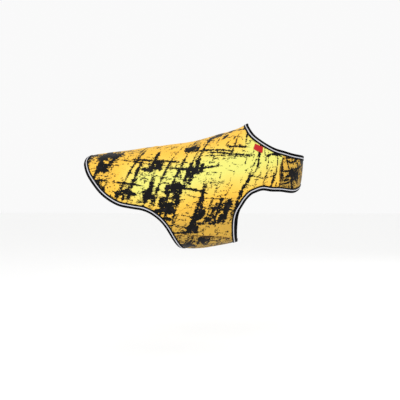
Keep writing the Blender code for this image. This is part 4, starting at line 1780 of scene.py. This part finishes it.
@dataclass
class Studio:
    """Camera at the photograph's angle, soft lights, a pale floor and a white room."""

    target: tuple[float, float, float] = (-0.0686, 0.0, -0.1646)
    azimuth: float = 3.0
    elevation: float = 1.5
    far: float = 3.0
    width: float = 0.98
    floor_z: float = -0.53
    floor_half: float = 9.0
    room: float = 0.95
    sensor_mm: float = 36.0

    def aimed(self, thing: Object) -> None:
        """Turns a camera or a light towards the target."""
        thing.rotation_euler = (Vector(self.target) - thing.location).to_track_quat("-Z", "Y").to_euler()
        bpy.context.scene.collection.objects.link(thing)

    def build(self) -> None:
        """Makes the camera, the lights, the floor and the room's light."""
        side, up = math.radians(self.azimuth), math.radians(self.elevation)
        away = Vector((math.sin(side) * math.cos(up), -math.cos(side) * math.cos(up), math.sin(up)))
        lens = bpy.data.cameras.new("camera")
        lens.sensor_width = self.sensor_mm
        lens.lens = self.sensor_mm * self.far / self.width
        camera = bpy.data.objects.new("camera", lens)
        camera.location = Vector(self.target) + away * self.far
        self.aimed(camera)
        bpy.context.scene.camera = camera
        for name, place, size, power in LIGHTS:
            light = bpy.data.lights.new(name, "AREA")
            light.size = size
            light.energy = power
            lamp = bpy.data.objects.new(name, light)
            lamp.location = place
            self.aimed(lamp)
        floor = bpy.data.meshes.new("floor")
        corners = [(x * self.floor_half, y * self.floor_half, self.floor_z)
                   for x, y in ((-1, -1), (1, -1), (1, 1), (-1, 1))]
        floor.from_pydata(corners, [], [(0, 1, 2, 3)])
        floor.materials.append(PAPER.make())
        ground = bpy.data.objects.new("floor", floor)
        bpy.context.scene.collection.objects.link(ground)
        world = bpy.data.worlds.new("studio")
        world.use_nodes = True
        sky = world.node_tree.nodes["Background"]
        sky.inputs["Color"].default_value = (1.0, 1.0, 1.0, 1.0)
        sky.inputs["Strength"].default_value = self.room
        bpy.context.scene.world = world
        bpy.context.scene.view_settings.view_transform = "Standard"


@dataclass
class Cape:
    """The dressed cape."""

    pattern: Pattern = field(default_factory=Pattern)

    def build(self) -> None:
        """Makes every piece, gathers the tapes, threads and pads that go with each cloth piece, and logs
        its area.
        """
        cloth = Cloth(self.pattern).build()
        tapes = Bindings(self.pattern).build()
        threads = Seams(self.pattern).build()
        pads = Fastenings(self.pattern).build()
        label = Label().build()
        along = {"body_panel": ["neck_binding", "hem_binding", "leg_binding_right", "leg_binding_left"]}
        for side in ("right", "left"):
            along[f"belly_band_{side}"] = [f"belly_end_binding_{side}"]
            along[f"chest_strap_{side}"] = [f"chest_end_binding_{side}"]
        pad_of = {"belly_band_left": "belly_loop_pad", "belly_band_right": "belly_hook_pad",
                  "chest_strap_left": "chest_loop_pad", "chest_strap_right": "chest_hook_pad"}
        for node, (piece, area) in cloth.items():
            others = [part for name in along[node] for part in tapes[name]]
            others += [threads[node]] if node in threads else label
            others += [pads[pad_of[node]]] if node in pad_of else []
            LOG.info("%s: cloth %.4f m2", node, area)


def main() -> None:
    """Builds the studio and the cape."""
    logging.basicConfig(level=logging.INFO, format="%(name)s: %(message)s")
    Studio().build()
    Cape().build()


if __name__ == "__main__":
    main()
